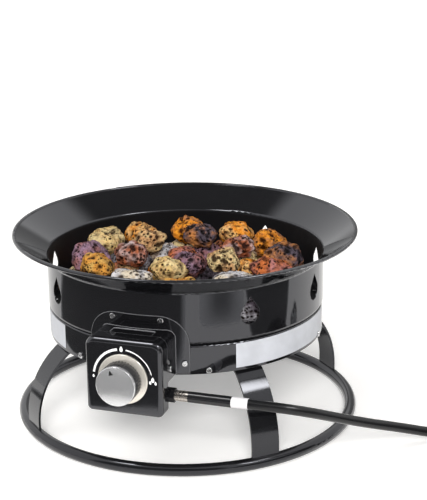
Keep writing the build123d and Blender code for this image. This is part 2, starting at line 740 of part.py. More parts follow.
with BuildPart() as knob_cap:
    with Locations(front(cap_back)):
        Cylinder(cap_radius, CAP_RIM, align=STAND)
    fillet(knob_cap.faces().sort_by(Axis.Y)[0].edges(), CAP_EDGE)
    with Locations(front(cap_back)):
        Cylinder(nose_radius + CLEARANCE / 2, CAP_RIM - CAP_FACE, align=STAND, mode=Mode.SUBTRACT)
save(knob_cap, "knob_cap")

pointer_turn = math.radians(POINTER_ANGLE)
pointer_plane = Plane(
    origin=front(knob_front).origin,
    x_dir=(math.cos(pointer_turn), 0, math.sin(pointer_turn)),
    z_dir=(0, -1, 0),
)
with BuildPart() as knob_pointer:
    with BuildSketch(pointer_plane):
        with BuildLine():
            Polyline(
                (0, POINTER_TIP),
                (-POINTER_WIDTH / 2, POINTER_TIP - POINTER_LENGTH),
                (POINTER_WIDTH / 2, POINTER_TIP - POINTER_LENGTH),
                close=True,
            )
        make_face()
    extrude(amount=POINTER_HEIGHT)
save(knob_pointer, "knob_pointer")

# Valve stem: round neck in the valve, D-shaped nose in the knob, flat tang in the plug
stem_back = plug_front + KNOB_TRAVEL + PLUG_GAP
stem_shoulder = collar_front + RUNNING_CLEARANCE
stem_front = knob_back + STEM_SOCKET - CLEARANCE
with BuildPart() as valve_stem:
    with Locations(front(stem_back)):
        Cylinder(STEM_NECK_RADIUS, stem_shoulder - stem_back, align=STAND)
    with Locations(front(stem_shoulder)):
        Cylinder(STEM_RADIUS, knob_back - stem_shoulder, align=STAND)
    with BuildSketch(front(knob_back)):
        d_section(STEM_RADIUS, STEM_FLAT)
    extrude(amount=stem_front - knob_back)
    with BuildSketch(front(stem_back)):
        Rectangle(TANG_WIDTH, TANG_THICKNESS)
    extrude(amount=-TANG_LENGTH)
save(valve_stem, "valve_stem")

with BuildPart() as push_collar:
    with BuildSketch(front(collar_back)):
        Circle(CHAMBER_RADIUS - RUNNING_CLEARANCE)
        Circle(STEM_NECK_RADIUS + RUNNING_CLEARANCE, mode=Mode.SUBTRACT)
    extrude(amount=COLLAR_THICKNESS)
save(push_collar, "push_collar")

# Valve plug: turns in the chamber and lines its port up with the inlet
slot_depth = TANG_LENGTH + PLUG_GAP
with BuildPart() as valve_plug:
    with Locations(front(plug_back)):
        Cylinder(CHAMBER_RADIUS - RUNNING_CLEARANCE, PLUG_LENGTH, align=STAND)
    with BuildSketch(front(plug_front)):
        Rectangle(TANG_WIDTH + 2 * CLEARANCE, TANG_THICKNESS + 2 * CLEARANCE)
    extrude(amount=-slot_depth, mode=Mode.SUBTRACT)
    with Locations(front(plug_back)):
        Cylinder(PORT_RADIUS, INLET_REACH, align=STAND, mode=Mode.SUBTRACT)
    with Locations((0, -inlet_reach, knob_height)):
        Cylinder(
            PORT_RADIUS, CHAMBER_RADIUS, align=(Align.CENTER, Align.CENTER, Align.MAX), mode=Mode.SUBTRACT
        )
save(valve_plug, "valve_plug")

boss_bottom = knob_height - INLET_BOSS_DROP
bonnet_screw_planes = [front(cover_inside, knob_height + side * BONNET_SCREW_SPREAD / 2) for side in (-1, 1)]
bonnet_screw_length = BONNET_THICKNESS * 3
with BuildPart() as valve_body:
    with Locations(front(valve_back)):
        Cylinder(VALVE_RADIUS, VALVE_LENGTH, align=STAND)
    with Locations(front(spigot_back)):
        Cylinder(SPIGOT_RADIUS, SPIGOT_LENGTH, align=STAND)
    with Locations((0, -inlet_reach, boss_bottom)):
        Cylinder(INLET_BOSS_RADIUS, INLET_BOSS_DROP, align=STAND)
    with Locations(front(chamber_back)):
        Cylinder(CHAMBER_RADIUS, CHAMBER_DEPTH, align=STAND, mode=Mode.SUBTRACT)
    with Locations((0, -inlet_reach, boss_bottom)):
        Cylinder(INLET_BORE, INLET_BOSS_DROP, align=STAND, mode=Mode.SUBTRACT)
    with Locations(front(spigot_back)):
        Cylinder(JET_RADIUS + CLEARANCE, JET_THREAD, align=STAND, mode=Mode.SUBTRACT)
        Cylinder(PORT_RADIUS, chamber_back - spigot_back, align=STAND, mode=Mode.SUBTRACT)
    with Locations(*bonnet_screw_planes):
        Cylinder(BONNET_SCREW_RADIUS + CLEARANCE, 2 * bonnet_screw_length, mode=Mode.SUBTRACT)
save(valve_body, "valve_body")

with BuildPart() as valve_bonnet:
    with BuildSketch(front(bonnet_back)):
        RectangleRounded(BONNET_WIDTH, BONNET_HEIGHT, BONNET_CORNER)
        Circle(STEM_RADIUS + 2 * RUNNING_CLEARANCE, mode=Mode.SUBTRACT)
    extrude(amount=BONNET_THICKNESS)
    with Locations(*valve_screw_planes):
        Cylinder(screw_hole, SCREW_LENGTH * 2, mode=Mode.SUBTRACT)
    with Locations(*[plane.offset(-BONNET_SCREW_HEAD) for plane in bonnet_screw_planes]):
        Cone(
            BONNET_SCREW_RADIUS + CLEARANCE,
            BONNET_SCREW_HEAD_RADIUS + CLEARANCE,
            BONNET_SCREW_HEAD,
            align=STAND,
            mode=Mode.SUBTRACT,
        )
        Cylinder(BONNET_SCREW_RADIUS + CLEARANCE, BONNET_THICKNESS * 2, mode=Mode.SUBTRACT)
save(valve_bonnet, "valve_bonnet")

with BuildPart() as bonnet_screws:
    with Locations(*[plane.offset(-BONNET_SCREW_HEAD) for plane in bonnet_screw_planes]):
        Cone(BONNET_SCREW_RADIUS, BONNET_SCREW_HEAD_RADIUS, BONNET_SCREW_HEAD, align=STAND)
        Cylinder(
            BONNET_SCREW_RADIUS,
            bonnet_screw_length - BONNET_SCREW_HEAD - CLEARANCE,
            align=(Align.CENTER, Align.CENTER, Align.MAX),
        )
save(bonnet_screws, "bonnet_screws")

with BuildPart() as valve_screws:
    with Locations(*valve_screw_planes):
        add(pan_screw(SCREW_LENGTH))
save(valve_screws, "valve_screws")

# Jet, mixer tube and ring burner
with BuildPart() as gas_jet:
    with BuildSketch(front(spigot_back)):
        RegularPolygon(across_flats(JET_FLATS), 6)
    extrude(amount=-JET_HEAD)
    with Locations(front(spigot_back)):
        Cylinder(JET_RADIUS, JET_THREAD - CLEARANCE, align=STAND)
        Cylinder(JET_BORE, 4 * JET_THREAD, mode=Mode.SUBTRACT)
save(gas_jet, "gas_jet")

with BuildPart() as mixer_tube:
    with BuildLine() as mixer_path:
        FilletPolyline(
            (0, -mixer_mouth, knob_height), (0, 0, knob_height), (0, 0, mixer_top), radius=mixer_bend
        )
    with BuildSketch(front(mixer_mouth)):
        Circle(mixer_radius)
        Circle(MIXER_BORE_RADIUS, mode=Mode.SUBTRACT)
    sweep(path=mixer_path.line)
    with Locations(front(AIR_WINDOW_REACH)):
        Box(4 * mixer_radius, AIR_WINDOW_WIDTH, AIR_WINDOW_LENGTH, mode=Mode.SUBTRACT)
save(mixer_tube, "mixer_tube")

open_turn = math.radians(BURNER_OPENING / 2)
open_plane = Plane(
    origin=(0, 0, 0),
    x_dir=(math.cos(open_turn), math.sin(open_turn), 0),
    z_dir=(math.sin(open_turn), -math.cos(open_turn), 0),
)
with BuildPart() as ring_burner:
    with BuildSketch(open_plane):
        with Locations((burner_radius, burner_height)):
            Circle(BURNER_TUBE / 2)
            Circle(BURNER_TUBE / 2 - BURNER_WALL, mode=Mode.SUBTRACT)
    revolve(axis=Axis.Z, revolution_arc=360 - BURNER_OPENING)
    with Locations((0, 0, burner_height)):
        with PolarLocations(burner_radius, BURNER_PORTS, start_angle=180 / BURNER_PORTS):
            Cylinder(BURNER_PORT_RADIUS, BURNER_TUBE, align=STAND, mode=Mode.SUBTRACT)
        Cylinder(BURNER_CROSS_TUBE / 2, BURNER_DIAMETER - BURNER_TUBE + BURNER_WALL, rotation=(0, 90, 0))
    with Locations((0, 0, nipple_bottom)):
        Cylinder(NIPPLE_RADIUS, burner_height + BURNER_TUBE / 2 - nipple_bottom, align=STAND)
    with Locations((0, 0, bowl_floor)):
        Cylinder(BURNER_COLLAR_RADIUS, BURNER_LIFT, align=STAND)
    with Locations((0, 0, burner_height)):
        Cylinder(
            BURNER_CROSS_TUBE / 2 - BURNER_WALL,
            BURNER_DIAMETER - BURNER_TUBE / 2,
            rotation=(0, 90, 0),
            mode=Mode.SUBTRACT,
        )
    with Locations((0, 0, nipple_bottom)):
        Cylinder(NIPPLE_RADIUS - NIPPLE_WALL, burner_height - nipple_bottom, align=STAND, mode=Mode.SUBTRACT)
    with Locations((burner_radius, 0, burner_height)):
        Box(BURNER_BLOCK, BURNER_BLOCK, BURNER_BLOCK)
save(ring_burner, "ring_burner")

with BuildPart() as burner_locknut:
    with BuildSketch(Plane.XY.offset(bowl_underside - LOCKNUT_HEIGHT)):
        RegularPolygon(across_flats(LOCKNUT_FLATS), 6)
        Circle(NIPPLE_RADIUS + RUNNING_CLEARANCE, mode=Mode.SUBTRACT)
    extrude(amount=LOCKNUT_HEIGHT)
save(burner_locknut, "burner_locknut")

# Inlet elbow and the hose's end fitting, which leave behind the cover towards +X
with BuildPart() as inlet_elbow:
    with BuildLine() as elbow_path:
        FilletPolyline(
            (0, -inlet_reach, boss_bottom),
            (0, -inlet_reach, inlet_height),
            (ferrule_start - CLEARANCE, -inlet_reach, inlet_height),
            radius=ELBOW_BEND,
        )
    with BuildSketch(Plane(origin=(0, -inlet_reach, boss_bottom), x_dir=(1, 0, 0), z_dir=(0, 0, -1))):
        Circle(ELBOW_RADIUS)
        Circle(INLET_BORE, mode=Mode.SUBTRACT)
    sweep(path=elbow_path.line)
save(inlet_elbow, "inlet_elbow")


def along_hose(x):
    """Plane that faces +X on the axis of the hose fitting."""
    return sideways(x, inlet_reach, inlet_height)


with BuildPart() as hose_nut:
    with BuildSketch(along_hose(HOSE_NUT_START)):
        RegularPolygon(across_flats(HOSE_NUT_FLATS), 6)
        Circle(ELBOW_RADIUS + CLEARANCE, mode=Mode.SUBTRACT)
    extrude(amount=HOSE_NUT_LENGTH)
save(hose_nut, "hose_nut")

with BuildPart() as hose_ferrule:
    with BuildSketch(along_hose(ferrule_start)):
        Circle(FERRULE_RADIUS)
        Circle(INLET_BORE, mode=Mode.SUBTRACT)
    extrude(amount=FERRULE_LENGTH)
    groove_step = FERRULE_LENGTH / (FERRULE_GROOVES + 1)
    for index in range(FERRULE_GROOVES):
        with Locations(along_hose(ferrule_start + groove_step * (index + 1))):
            Torus(FERRULE_RADIUS, FERRULE_GROOVE_RADIUS, mode=Mode.SUBTRACT)
save(hose_ferrule, "hose_ferrule")

with BuildPart() as hose_sleeve:
    with BuildSketch(along_hose(sleeve_start)):
        Circle(SLEEVE_RADIUS)
        Circle(INLET_BORE, mode=Mode.SUBTRACT)
    extrude(amount=SLEEVE_LENGTH)
    chamfer(hose_sleeve.faces().sort_by(Axis.X)[-1].outer_wire().edges(), SLEEVE_EDGE / 2)
save(hose_sleeve, "hose_sleeve")

with BuildPart() as hose_tag:
    with BuildSketch(along_hose(hose_start + CLEARANCE)):
        Circle(HOSE_DIAMETER / 2 + RUNNING_CLEARANCE + TAG_THICKNESS)
        Circle(HOSE_DIAMETER / 2 + RUNNING_CLEARANCE, mode=Mode.SUBTRACT)
    extrude(amount=TAG_LENGTH)
save(hose_tag, "hose_tag")

# Hose, free stretch: straight out of the sleeve, back and down to the floor, then into the coil
hose_route = [Vector(hose_start, -inlet_reach, inlet_height)]
hose_route.append(hose_route[0] + Vector(HOSE_FIRST_RUN, 0, 0))
hose_drop = inlet_height - HOSE_FLOOR
for waypoint in HOSE_WAYPOINTS:
    hose_route.append(hose_route[0] + Vector(*waypoint["place"], (waypoint["height_share"] - 1) * hose_drop))
landing_turn = math.radians(LANDING_HEADING)
landing = hose_route[0] + Vector(*LANDING_PLACE, -hose_drop)
hose_route.append(landing)
hose_route.append(landing + Vector(math.cos(landing_turn), math.sin(landing_turn), 0) * LANDING_RUN)
hose_radii = []
for before, corner, after in zip(hose_route, hose_route[1:], hose_route[2:]):
    turn = math.radians((corner - before).get_angle(after - corner))
    shorter = min((corner - before).length, (after - corner).length)
    hose_radii.append(HOSE_CORNER_SHARE * shorter / math.tan(turn / 2))
hose_section = math.pi * (HOSE_DIAMETER / 2) ** 2
with BuildPart() as hose_run:
    with BuildLine() as run_path:
        FilletPolyline(*hose_route, radius=hose_radii)
    with BuildSketch(along_hose(hose_start)):
        Circle(HOSE_DIAMETER / 2)
    sweep(path=run_path.line)
save(hose_run, "hose_run")
run_length = run_path.wire().length
print("hose bend radii", [round(radius) for radius in hose_radii], "length", round(run_length, 1))
print("hose volume over section times length", round(hose_run.part.volume / hose_section / run_length, 4))


def wind(places, headings):
    """Arcs through the given places along the given headings, two tangent arcs for each step."""
    for start, heading, end, arrival in zip(places, headings, places[1:], headings[1:]):
        chord = end - start
        lead = chord.dot(heading + arrival)
        slack = 2 * (1 - heading.dot(arrival))
        reach = (math.sqrt(lead**2 + slack * chord.dot(chord)) - lead) / slack
        middle = (start + heading * reach + end - arrival * reach) / 2
        half = (middle - start).normalized()
        TangentArc(start, middle, tangent=heading)
        TangentArc(middle, end, tangent=half * (2 * half.dot(heading)) - heading)


def least_gap(path, thickness):
    """Least gap between a tube's far stretches, measured on points along its middle line."""
    samples = int(path.length / thickness * GAP_SAMPLES)
    skip = int(GAP_SAMPLES * GAP_SKIP)
    points = np.array([tuple(path.position_at(i / samples)) for i in range(samples + 1)])
    nearest = math.inf
    for i in range(samples - skip):
        nearest = min(nearest, np.linalg.norm(points[i + skip:] - points[i], axis=1).min())
    return nearest - thickness


# Hose, coil: spirals in on the floor, climbs in the half turn where it reverses, and spirals out on top
coil_pitch = HOSE_DIAMETER + COIL_GAP
coil_turns = 2 * COIL_TURNS_IN
coil_outer = COIL_MEAN_DIAMETER / 2 + coil_pitch * COIL_TURNS_IN / 2
entry = hose_route[-1]
entry_heading = (hose_route[-1] - hose_route[-2]).normalized()
coil_start = entry + entry_heading * HOSE_DIAMETER
coil_centre = coil_start + Vector(entry_heading.Y, -entry_heading.X, 0) * coil_outer
entry_angle = math.atan2(coil_start.Y - coil_centre.Y, coil_start.X - coil_centre.X)


def coil_state(turns):
    """Place and heading on the coil after a number of turns."""
    inner = COIL_TURNS_IN - abs(turns - COIL_TURNS_IN)
    radius = coil_outer - coil_pitch * inner
    climb = min(1.0, max(0.0, (turns - COIL_TURNS_IN) / COIL_CLIMB_TURNS + 1 / 2))
    angle = entry_angle - 2 * math.pi * turns
    outwards = Vector(math.cos(angle), math.sin(angle), 0)
    onwards = Vector(math.sin(angle), -math.cos(angle), 0)
    place = coil_centre + outwards * radius + Vector(0, 0, coil_pitch * climb)
    drift = 0.0 if turns in (0, COIL_TURNS_IN, coil_turns) else math.copysign(coil_pitch, turns - COIL_TURNS_IN)
    rise = 2 * coil_pitch / COIL_CLIMB_TURNS if 0 < climb < 1 else 0.0
    heading = onwards * (2 * math.pi * radius) + outwards * drift + Vector(0, 0, rise)
    return place, heading.normalized()


coil_steps = [coil_state(quarter / 4) for quarter in range(int(4 * coil_turns) + 1)]
coil_places = [place for place, heading in coil_steps]
coil_headings = [heading for place, heading in coil_steps]
coil_end = coil_places[-1]
tail_heading = coil_headings[-1]
tail_end = coil_end + tail_heading * COIL_TAIL
with BuildPart() as hose_coil:
    with BuildLine() as coil_path:
        Line(entry, coil_start)
        wind(coil_places, coil_headings)
        Line(coil_end, tail_end)
    with BuildSketch(Plane(origin=entry, z_dir=entry_heading)):
        Circle(HOSE_DIAMETER / 2)
    sweep(path=coil_path.line)
save(hose_coil, "hose_coil")
coil_length = coil_path.wire().length
print("coil length", round(coil_length, 1), "hose in all", round(coil_length + run_length, 1))
print("coil volume over section times length", round(hose_coil.part.volume / hose_section / coil_length, 4))
print("coil least gap", round(least_gap(coil_path.wire(), HOSE_DIAMETER), 3))

# Coil tie: a strap round the bundle, flat on the floor
tie_place, tie_heading = coil_state(TIE_TURN)
tie_outwards = (tie_place - coil_centre).normalized()
tie_far = coil_outer - coil_pitch * TIE_TURN + HOSE_DIAMETER / 2 + TIE_CLEARANCE
tie_near = coil_outer - coil_pitch * (COIL_TURNS_IN - TIE_TURN) - HOSE_DIAMETER / 2 - TIE_CLEARANCE
tie_span = tie_far - tie_near
tie_rise = coil_pitch + HOSE_DIAMETER + CLEARANCE + TIE_CLEARANCE
tie_middle = coil_centre + tie_outwards * (tie_far + tie_near) / 2
tie_origin = Vector(tie_middle.X, tie_middle.Y, TIE_THICKNESS + tie_rise / 2)
with BuildPart() as coil_tie:
    with BuildSketch(Plane(origin=tie_origin, x_dir=tie_outwards, z_dir=tie_outwards.cross(Vector(0, 0, 1)))):
        RectangleRounded(
            tie_span + 2 * TIE_THICKNESS, tie_rise + 2 * TIE_THICKNESS, TIE_CORNER + TIE_THICKNESS
        )
        RectangleRounded(tie_span, tie_rise, TIE_CORNER, mode=Mode.SUBTRACT)
    extrude(amount=TIE_WIDTH / 2, both=True)
save(coil_tie, "coil_tie")

# Regulator: lower casting with two bosses on the hose's axis, cover, and the tank coupling
tail_left = Vector(-tail_heading.Y, tail_heading.X, 0)


def along_tail(distance):
    """Plane across the hose's far end, at a distance past the coil's tail, with its own y axis up."""
    return Plane(origin=tail_end + tail_heading * distance, x_dir=tail_left, z_dir=tail_heading)


boss_start = TANK_FERRULE_LENGTH
regulator_middle = boss_start + REGULATOR_BOSS + REGULATOR_RADIUS
boss_end = regulator_middle + REGULATOR_RADIUS + REGULATOR_BOSS
regulator_place = tail_end + tail_heading * regulator_middle
seam_height = regulator_place.Z + REGULATOR_SEAM
regulator_base = Plane(origin=(regulator_place.X, regulator_place.Y, regulator_place.Z - REGULATOR_BELOW))
regulator_seam = Plane(origin=(regulator_place.X, regulator_place.Y, seam_height))
casting_height = REGULATOR_BELOW + REGULATOR_SEAM
flange_edge = REGULATOR_RADIUS + REGULATOR_FLANGE
screw_ring = REGULATOR_RADIUS + REGULATOR_FLANGE / 2
cavity_radius = REGULATOR_RADIUS - REGULATOR_DRAFT - REGULATOR_SHEET

with BuildPart() as regulator_ferrule:
    with BuildSketch(along_tail(0)):
        Circle(FERRULE_RADIUS)
        Circle(INLET_BORE, mode=Mode.SUBTRACT)
    extrude(amount=TANK_FERRULE_LENGTH)
    groove_step = TANK_FERRULE_LENGTH / (FERRULE_GROOVES + 1)
    for index in range(FERRULE_GROOVES):
        with Locations(along_tail(groove_step * (index + 1))):
            Torus(FERRULE_RADIUS, FERRULE_GROOVE_RADIUS, mode=Mode.SUBTRACT)
save(regulator_ferrule, "regulator_ferrule")

with BuildPart() as regulator_body:
    with Locations(regulator_base):
        Cone(REGULATOR_RADIUS - REGULATOR_DRAFT, REGULATOR_RADIUS, casting_height, align=STAND)
    with Locations(regulator_seam):
        Cylinder(flange_edge, REGULATOR_FLANGE_THICKNESS, align=(Align.CENTER, Align.CENTER, Align.MAX))
    with Locations(along_tail(boss_start)):
        Cylinder(REGULATOR_BOSS_RADIUS, boss_end - boss_start, align=STAND)
    with Locations(regulator_base.offset(REGULATOR_SHEET)):
        Cylinder(cavity_radius, casting_height, align=STAND, mode=Mode.SUBTRACT)
    with Locations(along_tail(boss_start)):
        Cylinder(INLET_BORE, boss_end - boss_start, align=STAND, mode=Mode.SUBTRACT)
    with Locations(along_tail(boss_end)):
        Cylinder(
            TANK_NIPPLE_RADIUS + RUNNING_CLEARANCE,
            REGULATOR_BOSS + CLEARANCE,
            align=(Align.CENTER, Align.CENTER, Align.MAX),
            mode=Mode.SUBTRACT,
        )
    with Locations(regulator_seam):
        with PolarLocations(screw_ring, REGULATOR_SCREWS):
            Cylinder(REGULATOR_SCREW_RADIUS + CLEARANCE, OVERRUN * 2, mode=Mode.SUBTRACT)
save(regulator_body, "regulator_body")

with BuildPart() as regulator_cover:
    with Locations(regulator_seam):
        Cylinder(flange_edge, REGULATOR_FLANGE_THICKNESS, align=STAND)
    with Locations(regulator_seam.offset(REGULATOR_FLANGE_THICKNESS)):
        Cone(
            REGULATOR_RADIUS,
            REGULATOR_RADIUS - REGULATOR_DRAFT,
            REGULATOR_ABOVE - REGULATOR_FLANGE_THICKNESS,
            align=STAND,
        )
    fillet(regulator_cover.edges().group_by(Axis.Z)[-1], REGULATOR_DRAFT / 2)
    with Locations(regulator_seam):
        Cylinder(cavity_radius, REGULATOR_ABOVE - REGULATOR_SHEET, align=STAND, mode=Mode.SUBTRACT)
        with PolarLocations(screw_ring, REGULATOR_SCREWS):
            Cylinder(REGULATOR_SCREW_RADIUS + CLEARANCE, OVERRUN * 2, mode=Mode.SUBTRACT)
save(regulator_cover, "regulator_cover")

regulator_screw_length = 2 * REGULATOR_FLANGE_THICKNESS
with BuildPart() as regulator_screws:
    with Locations(regulator_seam.offset(REGULATOR_FLANGE_THICKNESS)):
        with PolarLocations(screw_ring, REGULATOR_SCREWS):
            Cylinder(REGULATOR_SCREW_HEAD_RADIUS, REGULATOR_SCREW_HEAD, align=STAND)
            Cylinder(
                REGULATOR_SCREW_RADIUS,
                regulator_screw_length,
                align=(Align.CENTER, Align.CENTER, Align.MAX),
            )
save(regulator_screws, "regulator_screws")

with BuildPart() as vent_cap:
    with Locations(regulator_seam.offset(REGULATOR_ABOVE)):
        Cylinder(VENT_CAP_RADIUS, VENT_CAP_HEIGHT, align=STAND)
    fillet(vent_cap.edges().group_by(Axis.Z)[-1], VENT_CAP_HEIGHT / 3)
save(vent_cap, "vent_cap")

# Tank coupling: the nipple stays with the regulator, and the big hand nut turns on it
nut_start = boss_end + NUT_END_GAP
shoulder_start = nut_start + TANK_NUT_END_WALL + NUT_END_GAP
nipple_end = boss_end + TANK_NIPPLE_LENGTH
with BuildPart() as tank_nipple:
    with Locations(along_tail(boss_end - REGULATOR_BOSS)):
        Cylinder(TANK_NIPPLE_RADIUS, nipple_end - boss_end + REGULATOR_BOSS, align=STAND)
        Cylinder(
            TANK_NIPPLE_BORE, nipple_end - boss_end + REGULATOR_BOSS, align=STAND, mode=Mode.SUBTRACT
        )
    with BuildSketch(along_tail(shoulder_start)):
        Circle(TANK_NIPPLE_SHOULDER_RADIUS)
        Circle(TANK_NIPPLE_RADIUS - NIPPLE_WALL, mode=Mode.SUBTRACT)
    extrude(amount=TANK_NIPPLE_SHOULDER)
    with Locations(along_tail(nipple_end - SEAL_SETBACK)):
        Torus(TANK_NIPPLE_RADIUS, SEAL_RADIUS + RUNNING_CLEARANCE, mode=Mode.SUBTRACT)
save(tank_nipple, "tank_nipple")

with BuildPart() as nipple_seal:
    with Locations(along_tail(nipple_end - SEAL_SETBACK)):
        Torus(TANK_NIPPLE_RADIUS, SEAL_RADIUS)
save(nipple_seal, "nipple_seal")

with BuildPart() as tank_nut:
    with Locations(along_tail(nut_start)):
        Cylinder(TANK_NUT_RADIUS, TANK_NUT_LENGTH, align=STAND)
        with PolarLocations(TANK_NUT_RADIUS + TANK_NUT_RIB_RADIUS / 2, TANK_NUT_RIBS):
            Cylinder(TANK_NUT_RIB_RADIUS, 2 * TANK_NUT_LENGTH, mode=Mode.SUBTRACT)
        Cylinder(TANK_NIPPLE_RADIUS + COLLAR_GAP, 2 * TANK_NUT_LENGTH, mode=Mode.SUBTRACT)
    with Locations(along_tail(nut_start + TANK_NUT_END_WALL)):
        Cylinder(TANK_NUT_BORE, TANK_NUT_LENGTH, align=STAND, mode=Mode.SUBTRACT)
save(tank_nut, "tank_nut")
print("tank nut axis", tail_end, tail_heading, "nut mouth", along_tail(nut_start + TANK_NUT_LENGTH).origin)

# Spring behind the push collar, at its pressed length
spring_back = plug_front + SPRING_SEAT_GAP + SPRING_WIRE / 2
spring_front = collar_back - KNOB_TRAVEL - SPRING_SEAT_GAP - SPRING_WIRE / 2
spring_pitch = (spring_front - spring_back) / SPRING_TURNS


def spring_state(turns):
    """Place and heading on the spring after a number of turns."""
    angle = 2 * math.pi * turns
    reach = spring_back + spring_pitch * turns
    place = Vector(SPRING_RADIUS * math.cos(angle), -reach, knob_height + SPRING_RADIUS * math.sin(angle))
    girth = 2 * math.pi * SPRING_RADIUS
    return place, Vector(-girth * math.sin(angle), -spring_pitch, girth * math.cos(angle)).normalized()


spring_steps = [spring_state(quarter / 4) for quarter in range(4 * SPRING_TURNS + 1)]
with BuildPart() as stem_spring:
    with BuildLine() as spring_path:
        wind([place for place, heading in spring_steps], [heading for place, heading in spring_steps])
    with BuildSketch(Plane(origin=spring_steps[0][0], z_dir=spring_steps[0][1])):
        Circle(SPRING_WIRE / 2)
    sweep(path=spring_path.line)
save(stem_spring, "stem_spring")

# Lava rocks: faceted stones, each dropped until it rests on the floor, the burner or the stones below it
golden_turn = math.pi * (3 - math.sqrt(5))
rock_limit = bowl_bore - ROCK_WALL_GAP
dice = np.random.default_rng(ROCK_SEED)


def rough_stone(size):
    """Corners of a rough stone about its own middle."""
    rank = np.arange(ROCK_CORNERS) + 1 / 2
    rise = 1 - 2 * rank / ROCK_CORNERS
    level = np.sqrt(1 - rise**2)
    turn = rank * golden_turn
    corners = np.column_stack([level * np.cos(turn), level * np.sin(turn), rise])
    corners *= 1 + ROCK_JITTER_SHARE * dice.uniform(-1, 1, (ROCK_CORNERS, 1))
    shares = np.array([1, ROCK_WIDTH_SHARE, ROCK_HEIGHT_SHARE])
    corners *= shares * (1 + ROCK_VARIATION_SHARE * dice.uniform(-1, 1, 3)) * size / 2
    spin = dice.uniform(0, 2 * math.pi)
    tilt = ROCK_TILT_SHARE * dice.uniform(-1, 1)
    x, y, z = corners.T
    y, z = y * math.cos(tilt) - z * math.sin(tilt), y * math.sin(tilt) + z * math.cos(tilt)
    return np.column_stack([x * math.cos(spin) - y * math.sin(spin), x * math.sin(spin) + y * math.cos(spin), z])


def lift_over(stone, lower):
    """Least lift that brings a stone clear of a convex body below it, over all planes between the two."""
    best_slope = np.zeros(2)
    span = SLOPE_SPAN
    for _ in range(SLOPE_ZOOMS):
        steps = np.linspace(-span, span, SLOPE_STEPS)
        slopes = best_slope + np.stack(np.meshgrid(steps, steps), axis=-1).reshape(-1, 2)
        top = (lower[:, 2] - slopes @ lower[:, :2].T).max(axis=1)
        base = (stone[:, 2] - slopes @ stone[:, :2].T).min(axis=1)
        best = (top - base).argmin()
        best_slope = slopes[best]
        span *= SLOPE_ZOOM_SHARE
    return top[best] - base[best]


def tube_stretch(start, end, radius):
    """Points round a straight stretch of tube, just outside its surface."""
    along = (end - start).normalized()
    plane = Plane(origin=start, z_dir=along)
    spread = radius / math.cos(math.pi / OBSTACLE_SIDES)
    points = []
    for side in range(OBSTACLE_SIDES):
        turn = 2 * math.pi * side / OBSTACLE_SIDES
        offset_place = plane.x_dir * (spread * math.cos(turn)) + plane.y_dir * (spread * math.sin(turn))
        points.append(tuple(start + offset_place))
        points.append(tuple(end + offset_place))
    return np.array(points)


block_half = BURNER_BLOCK / 2 + CLEARANCE
ring_corner = burner_radius / math.cos(math.pi / OBSTACLE_STRETCHES)
ring_places = [
    Vector(ring_corner, 0, burner_height).rotate(Axis.Z, 360 * i / OBSTACLE_STRETCHES)
    for i in range(OBSTACLE_STRETCHES + 1)
]
tube_clear = BURNER_TUBE / 2 + CLEARANCE
settled = [tube_stretch(a, b, tube_clear) for a, b in zip(ring_places, ring_places[1:])]
cross_end = Vector(burner_radius, 0, 0)
burner_middle = Vector(0, 0, burner_height)
cross_clear = BURNER_CROSS_TUBE / 2 + CLEARANCE
settled.append(tube_stretch(burner_middle - cross_end, burner_middle + cross_end, cross_clear))
hub_top = burner_middle + Vector(0, 0, BURNER_TUBE / 2)
settled.append(tube_stretch(burner_middle, hub_top, NIPPLE_RADIUS + CLEARANCE))
block_corners = [(x, y, z) for x in (-1, 1) for y in (-1, 1) for z in (-1, 1)]
settled.append(np.array(block_corners) * block_half + np.array([burner_radius, 0, burner_height]))
burner_pieces = len(settled)
for name, rings in ROCK_RINGS.items():
    with BuildPart() as rocks:
        for ring in rings:
            for i in range(ring["count"]):
                stone = rough_stone(ROCK_SIZE * ring["size_share"])
                azimuth = ring["first_azimuth"] + 360 * i / ring["count"]
                outwards = np.array(tuple(radial(azimuth, 0).z_dir))
                stone += outwards * ring["ring_share"] * bowl_bore
                stone -= outwards * max(0.0, np.hypot(stone[:, 0], stone[:, 1]).max() - rock_limit)
                lifts = [bowl_floor - stone[:, 2].min()]
                lifts += [lift_over(stone, lower) for lower in settled]
                stone[:, 2] += max(lifts) + ROCK_GAP
                settled.append(stone)
                ConvexPolyhedron([tuple(corner) for corner in stone])
    save(rocks, name)
    print(name, "tops", sorted(round(stone[:, 2].max()) for stone in settled[burner_pieces:]))
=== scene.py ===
# %% [markdown]
# # A portable propane fire pit
#
# This lesson dresses a finished CAD model of a small gas fire pit: a black enamel bowl full of lava rocks,
# on four strip legs and a base ring, with a control box in front and a hose that runs off to its tank
# regulator. The CAD solids stay exactly where they are. We give them finishes, and we replace the few
# pieces that a solid modeller draws too plainly: the rocks, the hose and its strap.

# %% Load the frame
import math

import bmesh
import bpy
import numpy as np
from mathutils import Matrix, Vector


